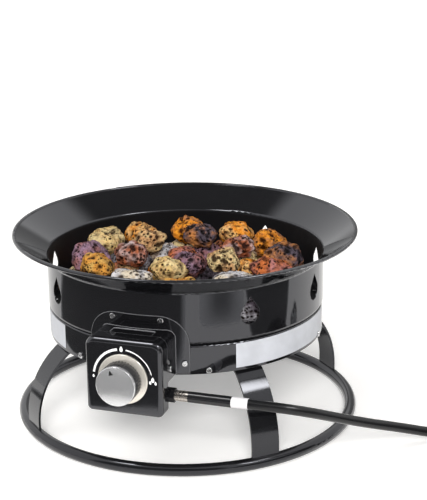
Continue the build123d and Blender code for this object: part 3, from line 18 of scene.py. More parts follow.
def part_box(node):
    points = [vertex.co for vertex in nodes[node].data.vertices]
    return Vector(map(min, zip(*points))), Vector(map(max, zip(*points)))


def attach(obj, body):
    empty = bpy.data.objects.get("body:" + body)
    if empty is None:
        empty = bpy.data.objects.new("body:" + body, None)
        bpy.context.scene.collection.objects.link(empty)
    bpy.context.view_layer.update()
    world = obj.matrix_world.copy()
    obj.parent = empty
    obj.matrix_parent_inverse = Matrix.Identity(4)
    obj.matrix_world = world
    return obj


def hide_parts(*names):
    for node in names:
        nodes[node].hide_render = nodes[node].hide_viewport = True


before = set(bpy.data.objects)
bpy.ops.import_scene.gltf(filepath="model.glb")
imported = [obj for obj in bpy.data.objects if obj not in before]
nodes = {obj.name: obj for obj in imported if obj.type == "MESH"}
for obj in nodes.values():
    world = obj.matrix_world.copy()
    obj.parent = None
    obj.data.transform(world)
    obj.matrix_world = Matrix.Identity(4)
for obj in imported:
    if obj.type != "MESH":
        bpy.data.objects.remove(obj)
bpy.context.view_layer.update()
BODY = "fire_pit"

# %% [markdown]
# ## Small helpers
#
# Three helpers serve the whole script. The smooth step eases a change in and out, so nothing starts with a
# kink.

# %% Small helpers


def add_object(name, data):
    """A new object in the scene, at the origin."""
    made = bpy.data.objects.new(name, data)
    bpy.context.scene.collection.objects.link(made)
    return made


def smooth_mesh(name, points, faces):
    """A mesh from rows of points and rows of point numbers, shaded smooth."""
    mesh = bpy.data.meshes.new(name)
    mesh.from_pydata(points.tolist(), [], faces.tolist())
    mesh.polygons.foreach_set("use_smooth", np.ones(len(mesh.polygons), dtype=bool))
    return mesh


def smooth_step(share):
    """Three s squared less two s cubed, with s kept between 0 and 1."""
    share = np.clip(share, 0, 1)
    return share**2 * (3 - 2 * share)


print("helpers ready")

# %% [markdown]
# ## Camera
#
# The photograph was taken from a little above the rim with a long lens. A camera fitted to the rim, the
# base ring and the control box gives the place, the direction and a slight roll. The image is 427 by 500
# pixels, so the lens length follows from the focal length in pixels over the taller side.

# %% Camera
IMAGE_HEIGHT_PX = 500
FOCAL_PX = 1477.7
camera_place = Vector((0.6666, -1.87202, 0.85995))
camera_forward = Vector((-0.302, 0.9047, -0.3004)).normalized()
camera_roll = math.radians(-0.607)

level_right = camera_forward.cross(Vector((0, 0, 1))).normalized()
level_up = level_right.cross(camera_forward)
right = level_right * math.cos(camera_roll) + level_up * math.sin(camera_roll)
up = level_up * math.cos(camera_roll) - level_right * math.sin(camera_roll)
camera_data = bpy.data.cameras.new("camera")
camera_data.sensor_width = 36.0
camera_data.lens = FOCAL_PX * camera_data.sensor_width / IMAGE_HEIGHT_PX
camera = add_object("camera", camera_data)
camera.matrix_world = Matrix(
    [(right[i], up[i], -camera_forward[i], camera_place[i]) for i in range(3)] + [(0, 0, 0, 1)]
)
bpy.context.scene.camera = camera
bpy.context.scene.view_settings.view_transform = "Standard"
print("lens", round(camera_data.lens, 1), "mm")

# %% [markdown]
# ## The hose
#
# A gas hose is stiff: it leaves its sleeve straight, bends down in one long curve to the floor, and the
# rest of its three metres is put away in a flat coil of two layers. One NURBS curve follows the whole hose.
# The free stretch has the route's own points, and the coil is worked out turn by turn: it spirals in,
# climbs where it reverses, and spirals out on top. A NURBS ring cuts a little inside its points, so the
# coil's points stand out by that known share.

# %% Hose route
HOSE = 0.0135
STRAP_ROOM = 0.0014
HOSE_FLOOR = HOSE / 2 + STRAP_ROOM
TURN_GAP = 0.0005
PITCH = HOSE + TURN_GAP
COIL_RADIUS = 0.081
TURNS_IN = 2.5
CLIMB_TURNS = 0.5
STEPS = 24
END_RUN = 0.062
TAIL_LEAD = 0.02
heading = math.radians(42.0)
along = np.array([math.cos(heading), math.sin(heading), 0.0])
free_route = np.array([
    (0.135, -0.212, 0.107), (0.178, -0.212, 0.107), (0.222, -0.194, 0.0981), (0.249, -0.157, 0.079),
    (0.286, -0.105, 0.052), (0.329, -0.054, 0.028), (0.376, -0.016, HOSE_FLOOR),
])
coil_start = free_route[-1] + along * (END_RUN + HOSE)
coil_outer = COIL_RADIUS + PITCH * TURNS_IN / 2
coil_centre = coil_start + np.array([along[1], -along[0], 0.0]) * coil_outer


def coil_points(centre, first_angle):
    """Spiral in, climb and spiral out: the radius falls by one pitch a turn, then grows again, and the
    height is a smooth step round the turning point."""
    turns = np.arange(1, int(2 * TURNS_IN * STEPS)) / STEPS
    inwards = TURNS_IN - np.abs(turns - TURNS_IN)
    radius = (coil_outer - PITCH * inwards) * 4 / (3 + math.cos(2 * math.pi / STEPS))
    angle = first_angle - 2 * math.pi * turns
    height = PITCH * smooth_step((turns - TURNS_IN) / CLIMB_TURNS + 0.5)
    return centre + np.stack([radius * np.cos(angle), radius * np.sin(angle), height], axis=1)


first_angle = math.atan2(*(coil_start - coil_centre)[1::-1])
coil = coil_points(coil_centre, first_angle)
coil_end = coil_start + np.array([0, 0, PITCH])
route = np.vstack([
    free_route, coil_start - along * HOSE, coil_start, coil,
    coil_end, coil_end + along * TAIL_LEAD, coil_end + along * END_RUN,
])
print("hose points", len(route), "coil centre", np.round(coil_centre, 3))

# %% [markdown]
# ## The hose's curve
#
# The points' own radius is half the hose, so the bevel's depth stays at one. The order of the spline is set
# after its points are there, because it would be lowered before.

# %% Hose curve
hose_data = bpy.data.curves.new("hose", "CURVE")
hose_data.dimensions = "3D"
hose_line = hose_data.splines.new("NURBS")
hose_line.points.add(len(route) - 1)
hose_line.points.foreach_set("co", np.column_stack([route, np.ones(len(route))]).ravel())
hose_line.points.foreach_set("radius", np.full(len(route), HOSE / 2))
hose_line.order_u = 3
hose_line.use_endpoint_u = True
hose_line.resolution_u = 4
hose_data.bevel_depth = 1.0
hose_data.bevel_resolution = 6
hose = add_object("hose", hose_data)
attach(hose, BODY)
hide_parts("hose_run", "hose_coil")
print("hose curve", hose.name)

# %% [markdown]
# ## Finishes
#
# Every finish is a small node graph on the Principled shader. A real surface is never one flat value, so
# each graph has at least a soft change of colour or roughness and a fine bump. Patterns read Object
# coordinates in metres, so a noise scale of 700 is a grain of a millimetre or two.

# %% Node helpers


def finish(name, colour, rough, metallic=0.0):
    """A node material and its Principled shader, with the constant values set on the sockets."""
    mat = bpy.data.materials.new(name)
    mat.use_nodes = True
    shader = mat.node_tree.nodes["Principled BSDF"]
    shader.inputs["Base Color"].default_value = (*colour, 1)
    shader.inputs["Roughness"].default_value = rough
    shader.inputs["Metallic"].default_value = metallic
    return mat, shader


def node(mat, kind, **values):
    """A new node of a material or the world; values go to its properties, or to its inputs by name."""
    made = mat.node_tree.nodes.new("ShaderNode" + kind)
    for key, value in values.items():
        if key in made.inputs:
            made.inputs[key].default_value = value
        else:
            setattr(made, key, value)
    return made


def wire(mat, start, end):
    """Join an output socket to an input socket."""
    mat.node_tree.links.new(start, end)


def object_place(mat):
    """Object coordinates, in metres."""
    return node(mat, "TexCoord").outputs["Object"]


def grain(mat, scale, detail=3.0):
    """Noise in Object coordinates: scale is in repeats per metre."""
    noise = node(mat, "TexNoise", Scale=scale, Detail=detail)
    wire(mat, object_place(mat), noise.inputs["Vector"])
    return noise.outputs["Fac"]


def spread(mat, value, low, high, start=0.0, end=1.0):
    """Map a value from start..end to low..high."""
    ramp = node(mat, "MapRange")
    ramp.inputs["From Min"].default_value = start
    ramp.inputs["From Max"].default_value = end
    ramp.inputs["To Min"].default_value = low
    ramp.inputs["To Max"].default_value = high
    wire(mat, value, ramp.inputs["Value"])
    return ramp.outputs["Result"]


def combine(mat, operation, first, second, clamp=False):
    """One value from two, by a sum, a product, the larger one or the like."""
    made = node(mat, "Math", operation=operation, use_clamp=clamp)
    wire(mat, first, made.inputs[0])
    wire(mat, second, made.inputs[1])
    return made.outputs["Value"]


def blend_colours(mat, value, first, second):
    """Colour from first to second as the value goes from 0 to 1."""
    mix = node(mat, "Mix", data_type="RGBA")
    wire(mat, value, mix.inputs["Factor"])
    for socket, colour in ((mix.inputs["A"], first), (mix.inputs["B"], second)):
        if isinstance(colour, tuple):
            socket.default_value = (*colour, 1)
        else:
            wire(mat, colour, socket)
    return mix.outputs["Result"]


def vary_roughness(mat, shader, pattern, low, high, start=0.3, end=0.7):
    """The shader's roughness times low to high, as the pattern goes from start to end."""
    rough = shader.inputs["Roughness"].default_value
    wire(mat, spread(mat, pattern, rough * low, rough * high, start, end), shader.inputs["Roughness"])


def emboss(mat, shader, value, strength, distance, base=None):
    """Bump from a height value, on top of another normal if one is given."""
    bump = node(mat, "Bump", Strength=strength, Distance=distance)
    wire(mat, value, bump.inputs["Height"])
    if base:
        wire(mat, base, bump.inputs["Normal"])
    wire(mat, bump.outputs["Normal"], shader.inputs["Normal"])
    return bump


print("node helpers ready")

# %% [markdown]
# ## Black enamel
#
# The bowl, band, legs, ring and control box are dipped in glossy black enamel. Seen straight on it is
# nearly black, and at a slant it mirrors the room. The fired coat is never quite flat: a faint orange peel
# of about two millimetres softens the mirror, and a haze of handling changes the gloss from place to place.
# The coat also rounds every sheet edge, so a bevel of a millimetre or so bends the normals there and the
# edges catch the light. On the control box those edges are also painted a paler grey: a painted highlight.
# Inside the bowl the fire has made it dull.

# %% Black enamel
COAT = (0.005, 0.005, 0.006)
COAT_DARK = (0.003, 0.003, 0.0035)
COAT_PALE = (0.008, 0.008, 0.009)
# Paler grey painted along the control box's sharp edges: a painted highlight.
PAINTED_HIGHLIGHT_GREY = (0.5, 0.5, 0.52)
MIRROR_TINT = (0.92, 0.93, 1.0, 1)
PEEL_DEPTH = 0.0004
DULL_ROUGH = 0.45
PLAIN_MIRROR = 0.5
DULL_MIRROR = 0.12
WALL_MARGIN = 0.0002
BOWL_WALL = 0.1935


def black_enamel(name, gloss, peel, shine, edge=0.0006, highlight_share=0.0):
    """Near-black coat: colour and roughness drift slowly, and a fine noise gives the orange peel. Where the
    bevel turns the normal away from the face's own, the colour is painted paler grey by the given amount:
    a painted highlight along the edges."""
    mat, shader = finish(name, COAT, gloss)
    coat = blend_colours(mat, grain(mat, 9.0, 2.0), COAT_DARK, COAT_PALE)
    vary_roughness(mat, shader, grain(mat, 26.0, 4.0), 0.7, 1.5)
    rounded = node(mat, "Bevel", samples=6, Radius=edge)
    face = node(mat, "NewGeometry")
    agreement = node(mat, "VectorMath", operation="DOT_PRODUCT")
    wire(mat, rounded.outputs["Normal"], agreement.inputs[0])
    wire(mat, face.outputs["Normal"], agreement.inputs[1])
    # Painted highlight: where the bevel bends the normal, the colour turns paler grey.
    painted_highlight_mask = spread(mat, agreement.outputs["Value"], highlight_share, 0.0, 0.80, 0.99)
    wire(mat, blend_colours(mat, painted_highlight_mask, coat, PAINTED_HIGHLIGHT_GREY), shader.inputs["Base Color"])
    emboss(mat, shader, grain(mat, 420.0, 2.0), peel, PEEL_DEPTH, rounded.outputs["Normal"])
    shader.inputs["IOR"].default_value = shine
    shader.inputs["Specular Tint"].default_value = MIRROR_TINT
    return mat


def dull_inside(mat, radius):
    """Fire dulls the coat: nearer the bowl's axis than a radius, it is rougher and mirrors less."""
    shader = mat.node_tree.nodes["Principled BSDF"]
    flat = node(mat, "VectorMath", operation="MULTIPLY")
    flat.inputs[1].default_value = (1, 1, 0)
    reach = node(mat, "VectorMath", operation="LENGTH")
    wire(mat, object_place(mat), flat.inputs[0])
    wire(mat, flat.outputs["Vector"], reach.inputs[0])
    inside = spread(mat, reach.outputs["Value"], 1.0, 0.0, radius - WALL_MARGIN, radius + WALL_MARGIN)
    rough = node(mat, "Mix", data_type="FLOAT")
    rough.inputs["B"].default_value = DULL_ROUGH
    wire(mat, inside, rough.inputs["Factor"])
    wire(mat, shader.inputs["Roughness"].links[0].from_socket, rough.inputs["A"])
    wire(mat, rough.outputs["Result"], shader.inputs["Roughness"])
    wire(mat, spread(mat, inside, PLAIN_MIRROR, DULL_MIRROR), shader.inputs["Specular IOR Level"])


enamel = black_enamel("black_enamel", gloss=0.05, peel=0.04, shine=1.74)
bowl_enamel = black_enamel("bowl_enamel", gloss=0.05, peel=0.04, shine=1.74)
dull_inside(bowl_enamel, BOWL_WALL)
frame_enamel = black_enamel("frame_enamel", gloss=0.08, peel=0.05, shine=1.58)
box_enamel = black_enamel("box_enamel", gloss=0.07, peel=0.05, shine=1.75, edge=0.0016, highlight_share=0.6)
fitting_black = black_enamel("fitting_black", gloss=0.2, peel=0.1, shine=1.6)
print("enamels", enamel.name, bowl_enamel.name, frame_enamel.name, box_enamel.name, fitting_black.name)

# %% [markdown]
# ## Bright metals
#
# Screws are zinc plated and slightly milky, the bezel is polished, and the knob's face is spun, with fine
# rings round its centre. Brass and the burner's steel are hidden in use, but they still get a fine grain.

# %% Bright metals
KNOB_HEIGHT = 0.136
GRAIN_DEPTH = 0.0002
RING_DEPTH = 0.0001


def plain_metal(name, colour, rough, scale, depth=0.15):
    """Metal whose roughness and height follow one fine grain, and whose colour follows a coarser one."""
    mat, shader = finish(name, colour, rough, 1.0)
    fine = grain(mat, scale, 4.0)
    vary_roughness(mat, shader, fine, 0.7, 1.4)
    darker = tuple(c * 0.82 for c in colour)
    wire(mat, blend_colours(mat, grain(mat, scale / 6, 2.0), darker, colour), shader.inputs["Base Color"])
    emboss(mat, shader, fine, depth, GRAIN_DEPTH)
    return mat


def spun_metal(name, colour, rough, ring_scale, metallic, dome):
    """Metal turned on a lathe about the knob's axis: fine rings change its height and roughness, and the
    face is a shallow dome whose height falls by dome times the radius squared. A clear lacquer that
    scatters a little light makes it less than fully metallic."""
    mat, shader = finish(name, colour, rough, metallic)
    centred = node(mat, "Mapping", Location=(0, 0, -KNOB_HEIGHT))
    wire(mat, object_place(mat), centred.inputs["Vector"])
    rings = node(mat, "TexWave", wave_type="RINGS", rings_direction="Y")
    for key, value in (("Scale", ring_scale), ("Distortion", 1.5), ("Detail", 3.0)):
        rings.inputs[key].default_value = value
    wire(mat, centred.outputs["Vector"], rings.inputs["Vector"])
    vary_roughness(mat, shader, rings.outputs["Fac"], 0.8, 1.35, 0.0, 1.0)
    flat = node(mat, "VectorMath", operation="MULTIPLY")
    flat.inputs[1].default_value = (1, 0, 1)
    wire(mat, centred.outputs["Vector"], flat.inputs[0])
    squared = node(mat, "VectorMath", operation="DOT_PRODUCT")
    wire(mat, flat.outputs["Vector"], squared.inputs[0])
    wire(mat, flat.outputs["Vector"], squared.inputs[1])
    swell = emboss(mat, shader, squared.outputs["Value"], 1.0, -dome)
    emboss(mat, shader, rings.outputs["Fac"], 0.12, RING_DEPTH, swell.outputs["Normal"])
    shader.inputs["Anisotropic"].default_value = 0.5
    return mat


zinc = plain_metal("zinc_plate", (0.78, 0.78, 0.79), rough=0.18, scale=600.0)
bezel_metal = spun_metal(
    "bezel_metal", (0.86, 0.81, 0.73), rough=0.28, ring_scale=260.0, metallic=0.7, dome=3.0
)
cap_metal = spun_metal(
    "cap_metal", (0.74, 0.74, 0.75), rough=0.2, ring_scale=420.0, metallic=0.8, dome=2.6
)
nickel = plain_metal("nickel", (0.52, 0.48, 0.44), rough=0.2, scale=300.0, depth=0.04)
brass = plain_metal("brass", (0.78, 0.58, 0.28), rough=0.3, scale=500.0)
burner_steel = plain_metal("burner_steel", (0.42, 0.4, 0.38), rough=0.4, scale=350.0)
casting = plain_metal("casting", (0.55, 0.56, 0.57), rough=0.45, scale=900.0, depth=0.3)
print("metals", zinc.name, bezel_metal.name, cap_metal.name, nickel.name)

# %% [markdown]
# ## Rubber, plastics and paper
#
# The hose is extruded rubber with a soft sheen. The knob's ribbed side and the tank nut are moulded plastic
# with a fine spark texture. The tag on the hose and the plates on the band are plain stock, bare of any
# print. One function makes them all, from a colour, a roughness, the grain's scale and its depth.

# %% Rubber, plastics and paper
RUBBER_IOR = 1.4


def moulded(name, colour, rough, scale, depth):
    """Moulded or extruded stuff: slow drift of colour, fine texture in height and roughness."""
    mat, shader = finish(name, colour, rough)
    lighter = tuple(min(1.0, c * 1.5 + 0.002) for c in colour)
    wire(mat, blend_colours(mat, grain(mat, 40.0, 3.0), colour, lighter), shader.inputs["Base Color"])
    fine = grain(mat, scale, 3.0)
    vary_roughness(mat, shader, fine, 0.8, 1.25)
    emboss(mat, shader, fine, depth, GRAIN_DEPTH)
    return mat


hose_rubber = moulded("hose_rubber", (0.006, 0.006, 0.0065), 0.2, 500.0, 0.05)
sleeve_plastic = moulded("sleeve_plastic", (0.006, 0.006, 0.007), 0.16, 300.0, 0.04)
knob_plastic = moulded("knob_plastic", (0.03, 0.03, 0.032), 0.16, 900.0, 0.08)
nut_plastic = moulded("nut_plastic", (0.012, 0.012, 0.013), 0.4, 900.0, 0.2)
tag_paper = moulded("tag_paper", (0.60, 0.59, 0.60), 0.55, 1200.0, 0.1)
plate_stock = moulded("plate_stock", (0.44, 0.45, 0.48), 0.42, 900.0, 0.05)
print_white = moulded("print_white", (0.86, 0.86, 0.85), 0.45, 1500.0, 0.05)
pointer_black = moulded("pointer_black", (0.006, 0.006, 0.006), 0.3, 700.0, 0.05)
strap_cloth = moulded("strap_cloth", (0.012, 0.012, 0.013), 0.85, 1800.0, 0.9)
hose_rubber.node_tree.nodes["Principled BSDF"].inputs["IOR"].default_value = RUBBER_IOR
print("plastics", hose_rubber.name, knob_plastic.name, nut_plastic.name)

# %% [markdown]
# ## Which finish goes where
#
# Each CAD node gets one finish, also the hose and the strap, which finer pieces replace. The rocks' finish
# comes later, with the rocks.

# %% Put the finishes on the CAD nodes
finish_of = {
    bowl_enamel: ["fire_bowl"],
    enamel: ["lower_band", "bottom_plate"],
    frame_enamel: ["base_ring", "leg_front_right", "leg_rear_right", "leg_rear_left", "leg_front_left"],
    box_enamel: ["control_housing", "control_cover"],
    fitting_black: ["hose_nut"],
    zinc: ["band_rivets", "plate_screws", "leg_bolts", "leg_nuts", "housing_screws", "side_screws",
           "bonnet_screws", "valve_screws", "valve_stem", "stem_spring", "burner_locknut", "regulator_screws"],
    bezel_metal: ["bezel"],
    cap_metal: ["knob_cap"],
    knob_plastic: ["knob_body"],
    pointer_black: ["knob_pointer"],
    brass: ["valve_body", "valve_bonnet", "valve_plug", "push_collar", "gas_jet", "inlet_elbow", "tank_nipple"],
    burner_steel: ["ring_burner", "mixer_tube"],
    nickel: ["hose_ferrule", "regulator_ferrule"],
    hose_rubber: ["nipple_seal", "hose_run", "hose_coil"],
    sleeve_plastic: ["hose_sleeve"],
    tag_paper: ["hose_tag"],
    strap_cloth: ["coil_tie"],
    casting: ["regulator_body", "regulator_cover"],
    nut_plastic: ["tank_nut", "vent_cap"],
}
for mat, names in finish_of.items():
    for name in names:
        nodes[name].data.materials.clear()
        nodes[name].data.materials.append(mat)
hose_data.materials.append(hose_rubber)
print("finished nodes", sum(len(names) for names in finish_of.values()))

# %% [markdown]
# ## Lava rocks
#
# Lava rock is light, rounded rubble full of gas bubbles. The CAD stones are convex polyhedra that rest on
# each other. Each one becomes a rounded stone of about the same size: in any direction, its radius is a
# soft minimum of the distances to the polyhedron's faces. Rounding and pits take stuff away, so the stone
# first grows by a few millimetres. Waves and pits are then taken off its surface.

# %% Stones from the CAD polyhedra
SMALLEST_AREA = 1e-12


def polyhedra(name):
    """The node's separate solids: for each, its centre, its outward face normals and the faces' distances.
    Points that share a face take the lowest number among them, until each solid has one number of its
    own."""
    mesh = nodes[name].data
    mesh.calc_loop_triangles()
    places = np.empty(len(mesh.vertices) * 3)
    mesh.vertices.foreach_get("co", places)
    corners = np.empty(len(mesh.loop_triangles) * 3, dtype=np.int64)
    mesh.loop_triangles.foreach_get("vertices", corners)
    places, merged = np.unique(np.round(places.reshape(-1, 3), 6), axis=0, return_inverse=True)
    faces = merged.ravel()[corners].reshape(-1, 3)
    label = np.arange(len(places))
    settled = False
    while not settled:
        lowered = label.copy()
        np.minimum.at(lowered, faces.ravel(), np.repeat(label[faces].min(axis=1), 3))
        settled = (lowered == label).all()
        label = lowered
    solids = []
    for key in np.unique(label[faces[:, 0]]):
        own = places[faces[label[faces[:, 0]] == key]]
        centre = own.reshape(-1, 3).mean(axis=0)
        normal = np.cross(own[:, 1] - own[:, 0], own[:, 2] - own[:, 0])
        size = np.linalg.norm(normal, axis=1)
        real = size > SMALLEST_AREA
        normal = normal[real] / size[real, None]
        distance = np.einsum("ij,ij->i", normal, own[real, 0] - centre)
        solids.append((centre, normal * np.sign(distance)[:, None], np.abs(distance)))
    return solids


def ball(level):
    """Directions and triangles of an even ball."""
    shape = bmesh.new()
    bmesh.ops.create_icosphere(shape, subdivisions=level, radius=1.0)
    mesh = bpy.data.meshes.new("ball")
    shape.to_mesh(mesh)
    shape.free()
    places = np.empty(len(mesh.vertices) * 3)
    mesh.vertices.foreach_get("co", places)
    faces = np.empty(len(mesh.polygons) * 3, dtype=np.int64)
    mesh.polygons.foreach_get("vertices", faces)
    bpy.data.meshes.remove(mesh)
    places = places.reshape(-1, 3)
    return places / np.linalg.norm(places, axis=1)[:, None], faces.reshape(-1, 3)


print("stone solids", len(polyhedra("lava_rock_bed")), "and", len(polyhedra("lava_rock_heap")))

# %% [markdown]
# ## Shape of one stone
#
# Three sizes of waves make the lumps, and burst bubbles make the pits. A stone that would reach into the
# bowl's wall or floor is pressed flat against it.

# %% Shape of one stone
SOFTNESS = 26.0
GROWTH = 0.0080
LESS_UPWARD = 0.6
LUMPS = ((0.0026, 0.045), (0.0010, 0.013), (0.0006, 0.008))
PIT_LEAST = 0.0017
PIT_SPAN = 0.0036
BOWL_BORE = 0.190
BOWL_FLOOR = 0.1672


def waves(points, dice, size, count=28):
    """Smooth noise of about -1 to 1: a sum of sine waves with random directions and phases, of a given
    size."""
    way = dice.normal(size=(count, 3)) * 2 * math.pi / size
    phase = dice.uniform(0, 2 * math.pi, count)
    return np.sin(points @ way.T + phase).sum(axis=1) / math.sqrt(count) / 1.4


def craters(directions, radius, dice, count=110):
    """Burst bubbles: round each scattered direction the depth is 0.8 reach (1 - (distance / reach)^2), and
    where two meet the deeper one counts. Most are small and a few are wide."""
    centres = dice.normal(size=(count, 3))
    centres /= np.linalg.norm(centres, axis=1)[:, None]
    reach = PIT_LEAST + PIT_SPAN * dice.uniform(0, 1, count) ** 4
    distance = radius[:, None] * np.arccos(np.clip(directions @ centres.T, -1, 1))
    return (0.8 * reach * np.clip(1 - (distance / reach) ** 2, 0, None)).max(axis=1)


def stone(directions, centre, normal, distance, dice):
    """Radius in each direction: the sum of (n.d / h) to the power p over the faces, to the power -1/p,
    which is the polyhedron with soft edges. It grows all round, though less upward, then waves and craters
    are taken off. Last, points past the bowl's wall or floor are drawn back to it."""
    facing = np.clip(directions @ normal.T, 0, None) / distance
    radius = (facing**SOFTNESS).sum(axis=1) ** (-1 / SOFTNESS)
    points = directions * radius[:, None]
    lumps = sum(height * (1 + waves(points, dice, size)) for height, size in LUMPS)
    pits = craters(directions, radius, dice)
    radius = radius + GROWTH * (1 - LESS_UPWARD * np.clip(directions[:, 2], 0, 1)) - lumps - pits
    points = centre + directions * radius[:, None]
    reach = np.hypot(points[:, 0], points[:, 1])
    points[:, :2] *= np.minimum(1, BOWL_BORE / np.maximum(reach, 1e-6))[:, None]
    points[:, 2] = np.maximum(points[:, 2], BOWL_FLOOR)
    return points, pits


print("stones grow by up to", GROWTH, "m")

# %% [markdown]
# ## The bed and the heap
#
# All stones of a node become one mesh. Each stone takes its main colour in turn from a mix, and a second
# one for its patches. The points carry both colours and the depth of the pits, for the finish to read.

# %% The bed and the heap
STONE_COLOURS = {
    "cream": (0.70, 0.54, 0.27),
    "ochre": (0.62, 0.35, 0.09),
    "orange": (0.74, 0.26, 0.02),
    "rust": (0.48, 0.13, 0.035),
    "maroon": (0.36, 0.11, 0.05),
    "mauve": (0.26, 0.16, 0.22),
    "ash": (0.66, 0.64, 0.67),
    "soot": (0.09, 0.07, 0.09),
}
BED_MIX = ["cream", "rust", "ochre", "mauve", "orange", "soot", "maroon", "cream", "ash"]
HEAP_MIX = ["cream", "mauve", "orange", "ochre", "maroon", "cream", "orange", "ash", "rust", "soot"]
PATCH_SHARE = 0.55
# A pit this deep is painted fully dark in the lava finish: painted shade.
BLACK_PIT = 0.0024


def rock_pile(name, node_name, level, seed, mix):
    """All stones of a node as one mesh. Each has a main colour from the mix and a second colour for
    patches, and the craters' depth is kept too: three attributes on the points."""
    directions, faces = ball(level)
    dice = np.random.default_rng(seed)
    places, triangles, mains, patches, depths = [], [], [], [], []
    for i, (centre, normal, distance) in enumerate(polyhedra(node_name)):
        points, pits = stone(directions, centre, normal, distance, dice)
        main = np.array(STONE_COLOURS[mix[i % len(mix)]]) * dice.uniform(0.9, 1.1)
        patch = np.array(STONE_COLOURS[mix[(i + 3) % len(mix)]])
        places.append(points)
        triangles.append(faces + i * len(directions))
        mains.append(np.broadcast_to(main, points.shape))
        patches.append(np.broadcast_to((1 - PATCH_SHARE) * main + PATCH_SHARE * patch, points.shape))
        depths.append(pits)
    mesh = smooth_mesh(name, np.vstack(places), np.vstack(triangles))
    for label, rows in (("stone_tint", mains), ("patch_tint", patches)):
        rows = np.vstack(rows)
        rgba = np.column_stack([rows, np.ones(len(rows))]).astype(np.float32)
        mesh.attributes.new(label, "FLOAT_COLOR", "POINT").data.foreach_set("color", rgba.ravel())
    pores = mesh.attributes.new("pit_depth", "FLOAT", "POINT")
    pores.data.foreach_set("value", (np.concatenate(depths) / BLACK_PIT).astype(np.float32))
    pile = add_object(name, mesh)
    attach(pile, BODY)
    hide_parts(node_name)
    print(name, "stones", len(depths), "triangles", len(mesh.polygons))
    return pile


rock_bed = rock_pile("rock_bed", "lava_rock_bed", 4, 3, BED_MIX)
rock_heap = rock_pile("rock_heap", "lava_rock_heap", 4, 8, HEAP_MIX)

# %% [markdown]
# ## Lava stone finish
#
# Each stone has its own colour, from cream to rust and purple black. Bubbles that were cut open show as
# round pores of several sizes, dented by a bump and painted dark as painted shade in the hollows, so three
# Voronoi patterns have cells of about eight, six and three millimetres. The two finer ones come in fields,
# because a stone is spongy in one place and dense in another. The modelled pits are painted dark as well,
# by their depth: painted shade.

# %% Lava stone finish
# Dark brown multiplied into pores and pits: painted shade in the hollows.
PORE_SHADE_COLOUR = (0.065, 0.048, 0.042, 1)
PORE_DEPTH = 0.0032
lava, lava_shader = finish("lava_stone", (0.35, 0.25, 0.17), 0.9)


def pores(scale, low, high):
    """Round pores: 1 inside a bubble, 0 outside, from the distance to scattered points."""
    cells = node(lava, "TexVoronoi", Scale=scale, Randomness=1.0)
    wire(lava, object_place(lava), cells.inputs["Vector"])
    return spread(lava, cells.outputs["Distance"], 1.0, 0.0, low, high)


def field(scale, detail, low, high):
    """Noise with more contrast: it is 0 below low and 1 above high."""
    return spread(lava, grain(lava, scale, detail), 0.0, 1.0, low, high)


tint = node(lava, "Attribute", attribute_name="stone_tint")
pit = node(lava, "Attribute", attribute_name="pit_depth")
patch = node(lava, "Attribute", attribute_name="patch_tint")
mottled = blend_colours(lava, field(48.0, 6.0, 0.42, 0.60), tint.outputs["Color"], patch.outputs["Color"])
dusty = node(lava, "Mix", data_type="RGBA", blend_type="OVERLAY")
dusty.inputs["Factor"].default_value = 0.55
wire(lava, mottled, dusty.inputs["A"])
wire(lava, grain(lava, 190.0, 5.0), dusty.inputs["B"])
body_colour = dusty.outputs["Result"]
big_pores = pores(120.0, 0.17, 0.29)
small_fields = combine(lava, "MULTIPLY", pores(290.0, 0.20, 0.36), field(70.0, 3.0, 0.44, 0.56))
sponge_fields = combine(lava, "MULTIPLY", pores(175.0, 0.30, 0.46), field(34.0, 2.0, 0.50, 0.56))
all_pores = combine(lava, "MAXIMUM", combine(lava, "MAXIMUM", big_pores, small_fields), sponge_fields)
# Painted shade: pores and modelled pits are darkened by multiplying in the dark brown.
deep = combine(lava, "MAXIMUM", all_pores, pit.outputs["Fac"], clamp=True)
painted_pore_shade = node(lava, "Mix", data_type="RGBA", blend_type="MULTIPLY")
painted_pore_shade.inputs["Factor"].default_value = 1.0
painted_pore_shade.inputs["B"].default_value = PORE_SHADE_COLOUR
wire(lava, body_colour, painted_pore_shade.inputs["A"])
stone_colour = blend_colours(lava, deep, body_colour, painted_pore_shade.outputs["Result"])
wire(lava, stone_colour, lava_shader.inputs["Base Color"])
hollow = node(lava, "Math", operation="MULTIPLY_ADD")
hollow.inputs[1].default_value = -0.7
wire(lava, all_pores, hollow.inputs[0])
wire(lava, field(240.0, 9.0, 0.25, 0.75), hollow.inputs[2])
emboss(lava, lava_shader, hollow.outputs["Value"], 1.0, PORE_DEPTH)
lava_shader.inputs["Specular IOR Level"].default_value = 0.25
for pile in (rock_bed, rock_heap):
    pile.data.materials.append(lava)
print("lava finish", lava.name)

# %% [markdown]
# ## Printed dial
#
# The cover carries a printed scale round the knob: a white arc that is thick at the low end and thin at the
# high end, with small drops for low, middle and high. Print has no thickness to speak of, so each mark is a
# thin sheet just proud of the cover's face: a grid whose two parameters run along and across the mark.

# %% Printed dial
PRINT_PROUD = 0.00025
DIAL_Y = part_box("control_cover")[0].y - PRINT_PROUD
DIAL_RADIUS = 0.0402


def sheet_object(name, points, mat):
    """A sheet from a grid of points (along, across), one quad for each cell."""
    rows, columns = points.shape[:2]
    index = np.arange(rows * columns).reshape(rows, columns)
    quads = np.stack([index[:-1, :-1], index[1:, :-1], index[1:, 1:], index[:-1, 1:]], axis=-1)
    mesh = smooth_mesh(name, points.reshape(-1, 3), quads.reshape(-1, 4))
    mesh.materials.append(mat)
    return add_object(name, mesh)


def flat_mark(name, points, mat):
    """A printed sheet that rides on the pit's body."""
    made = sheet_object(name, points, mat)
    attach(made, BODY)


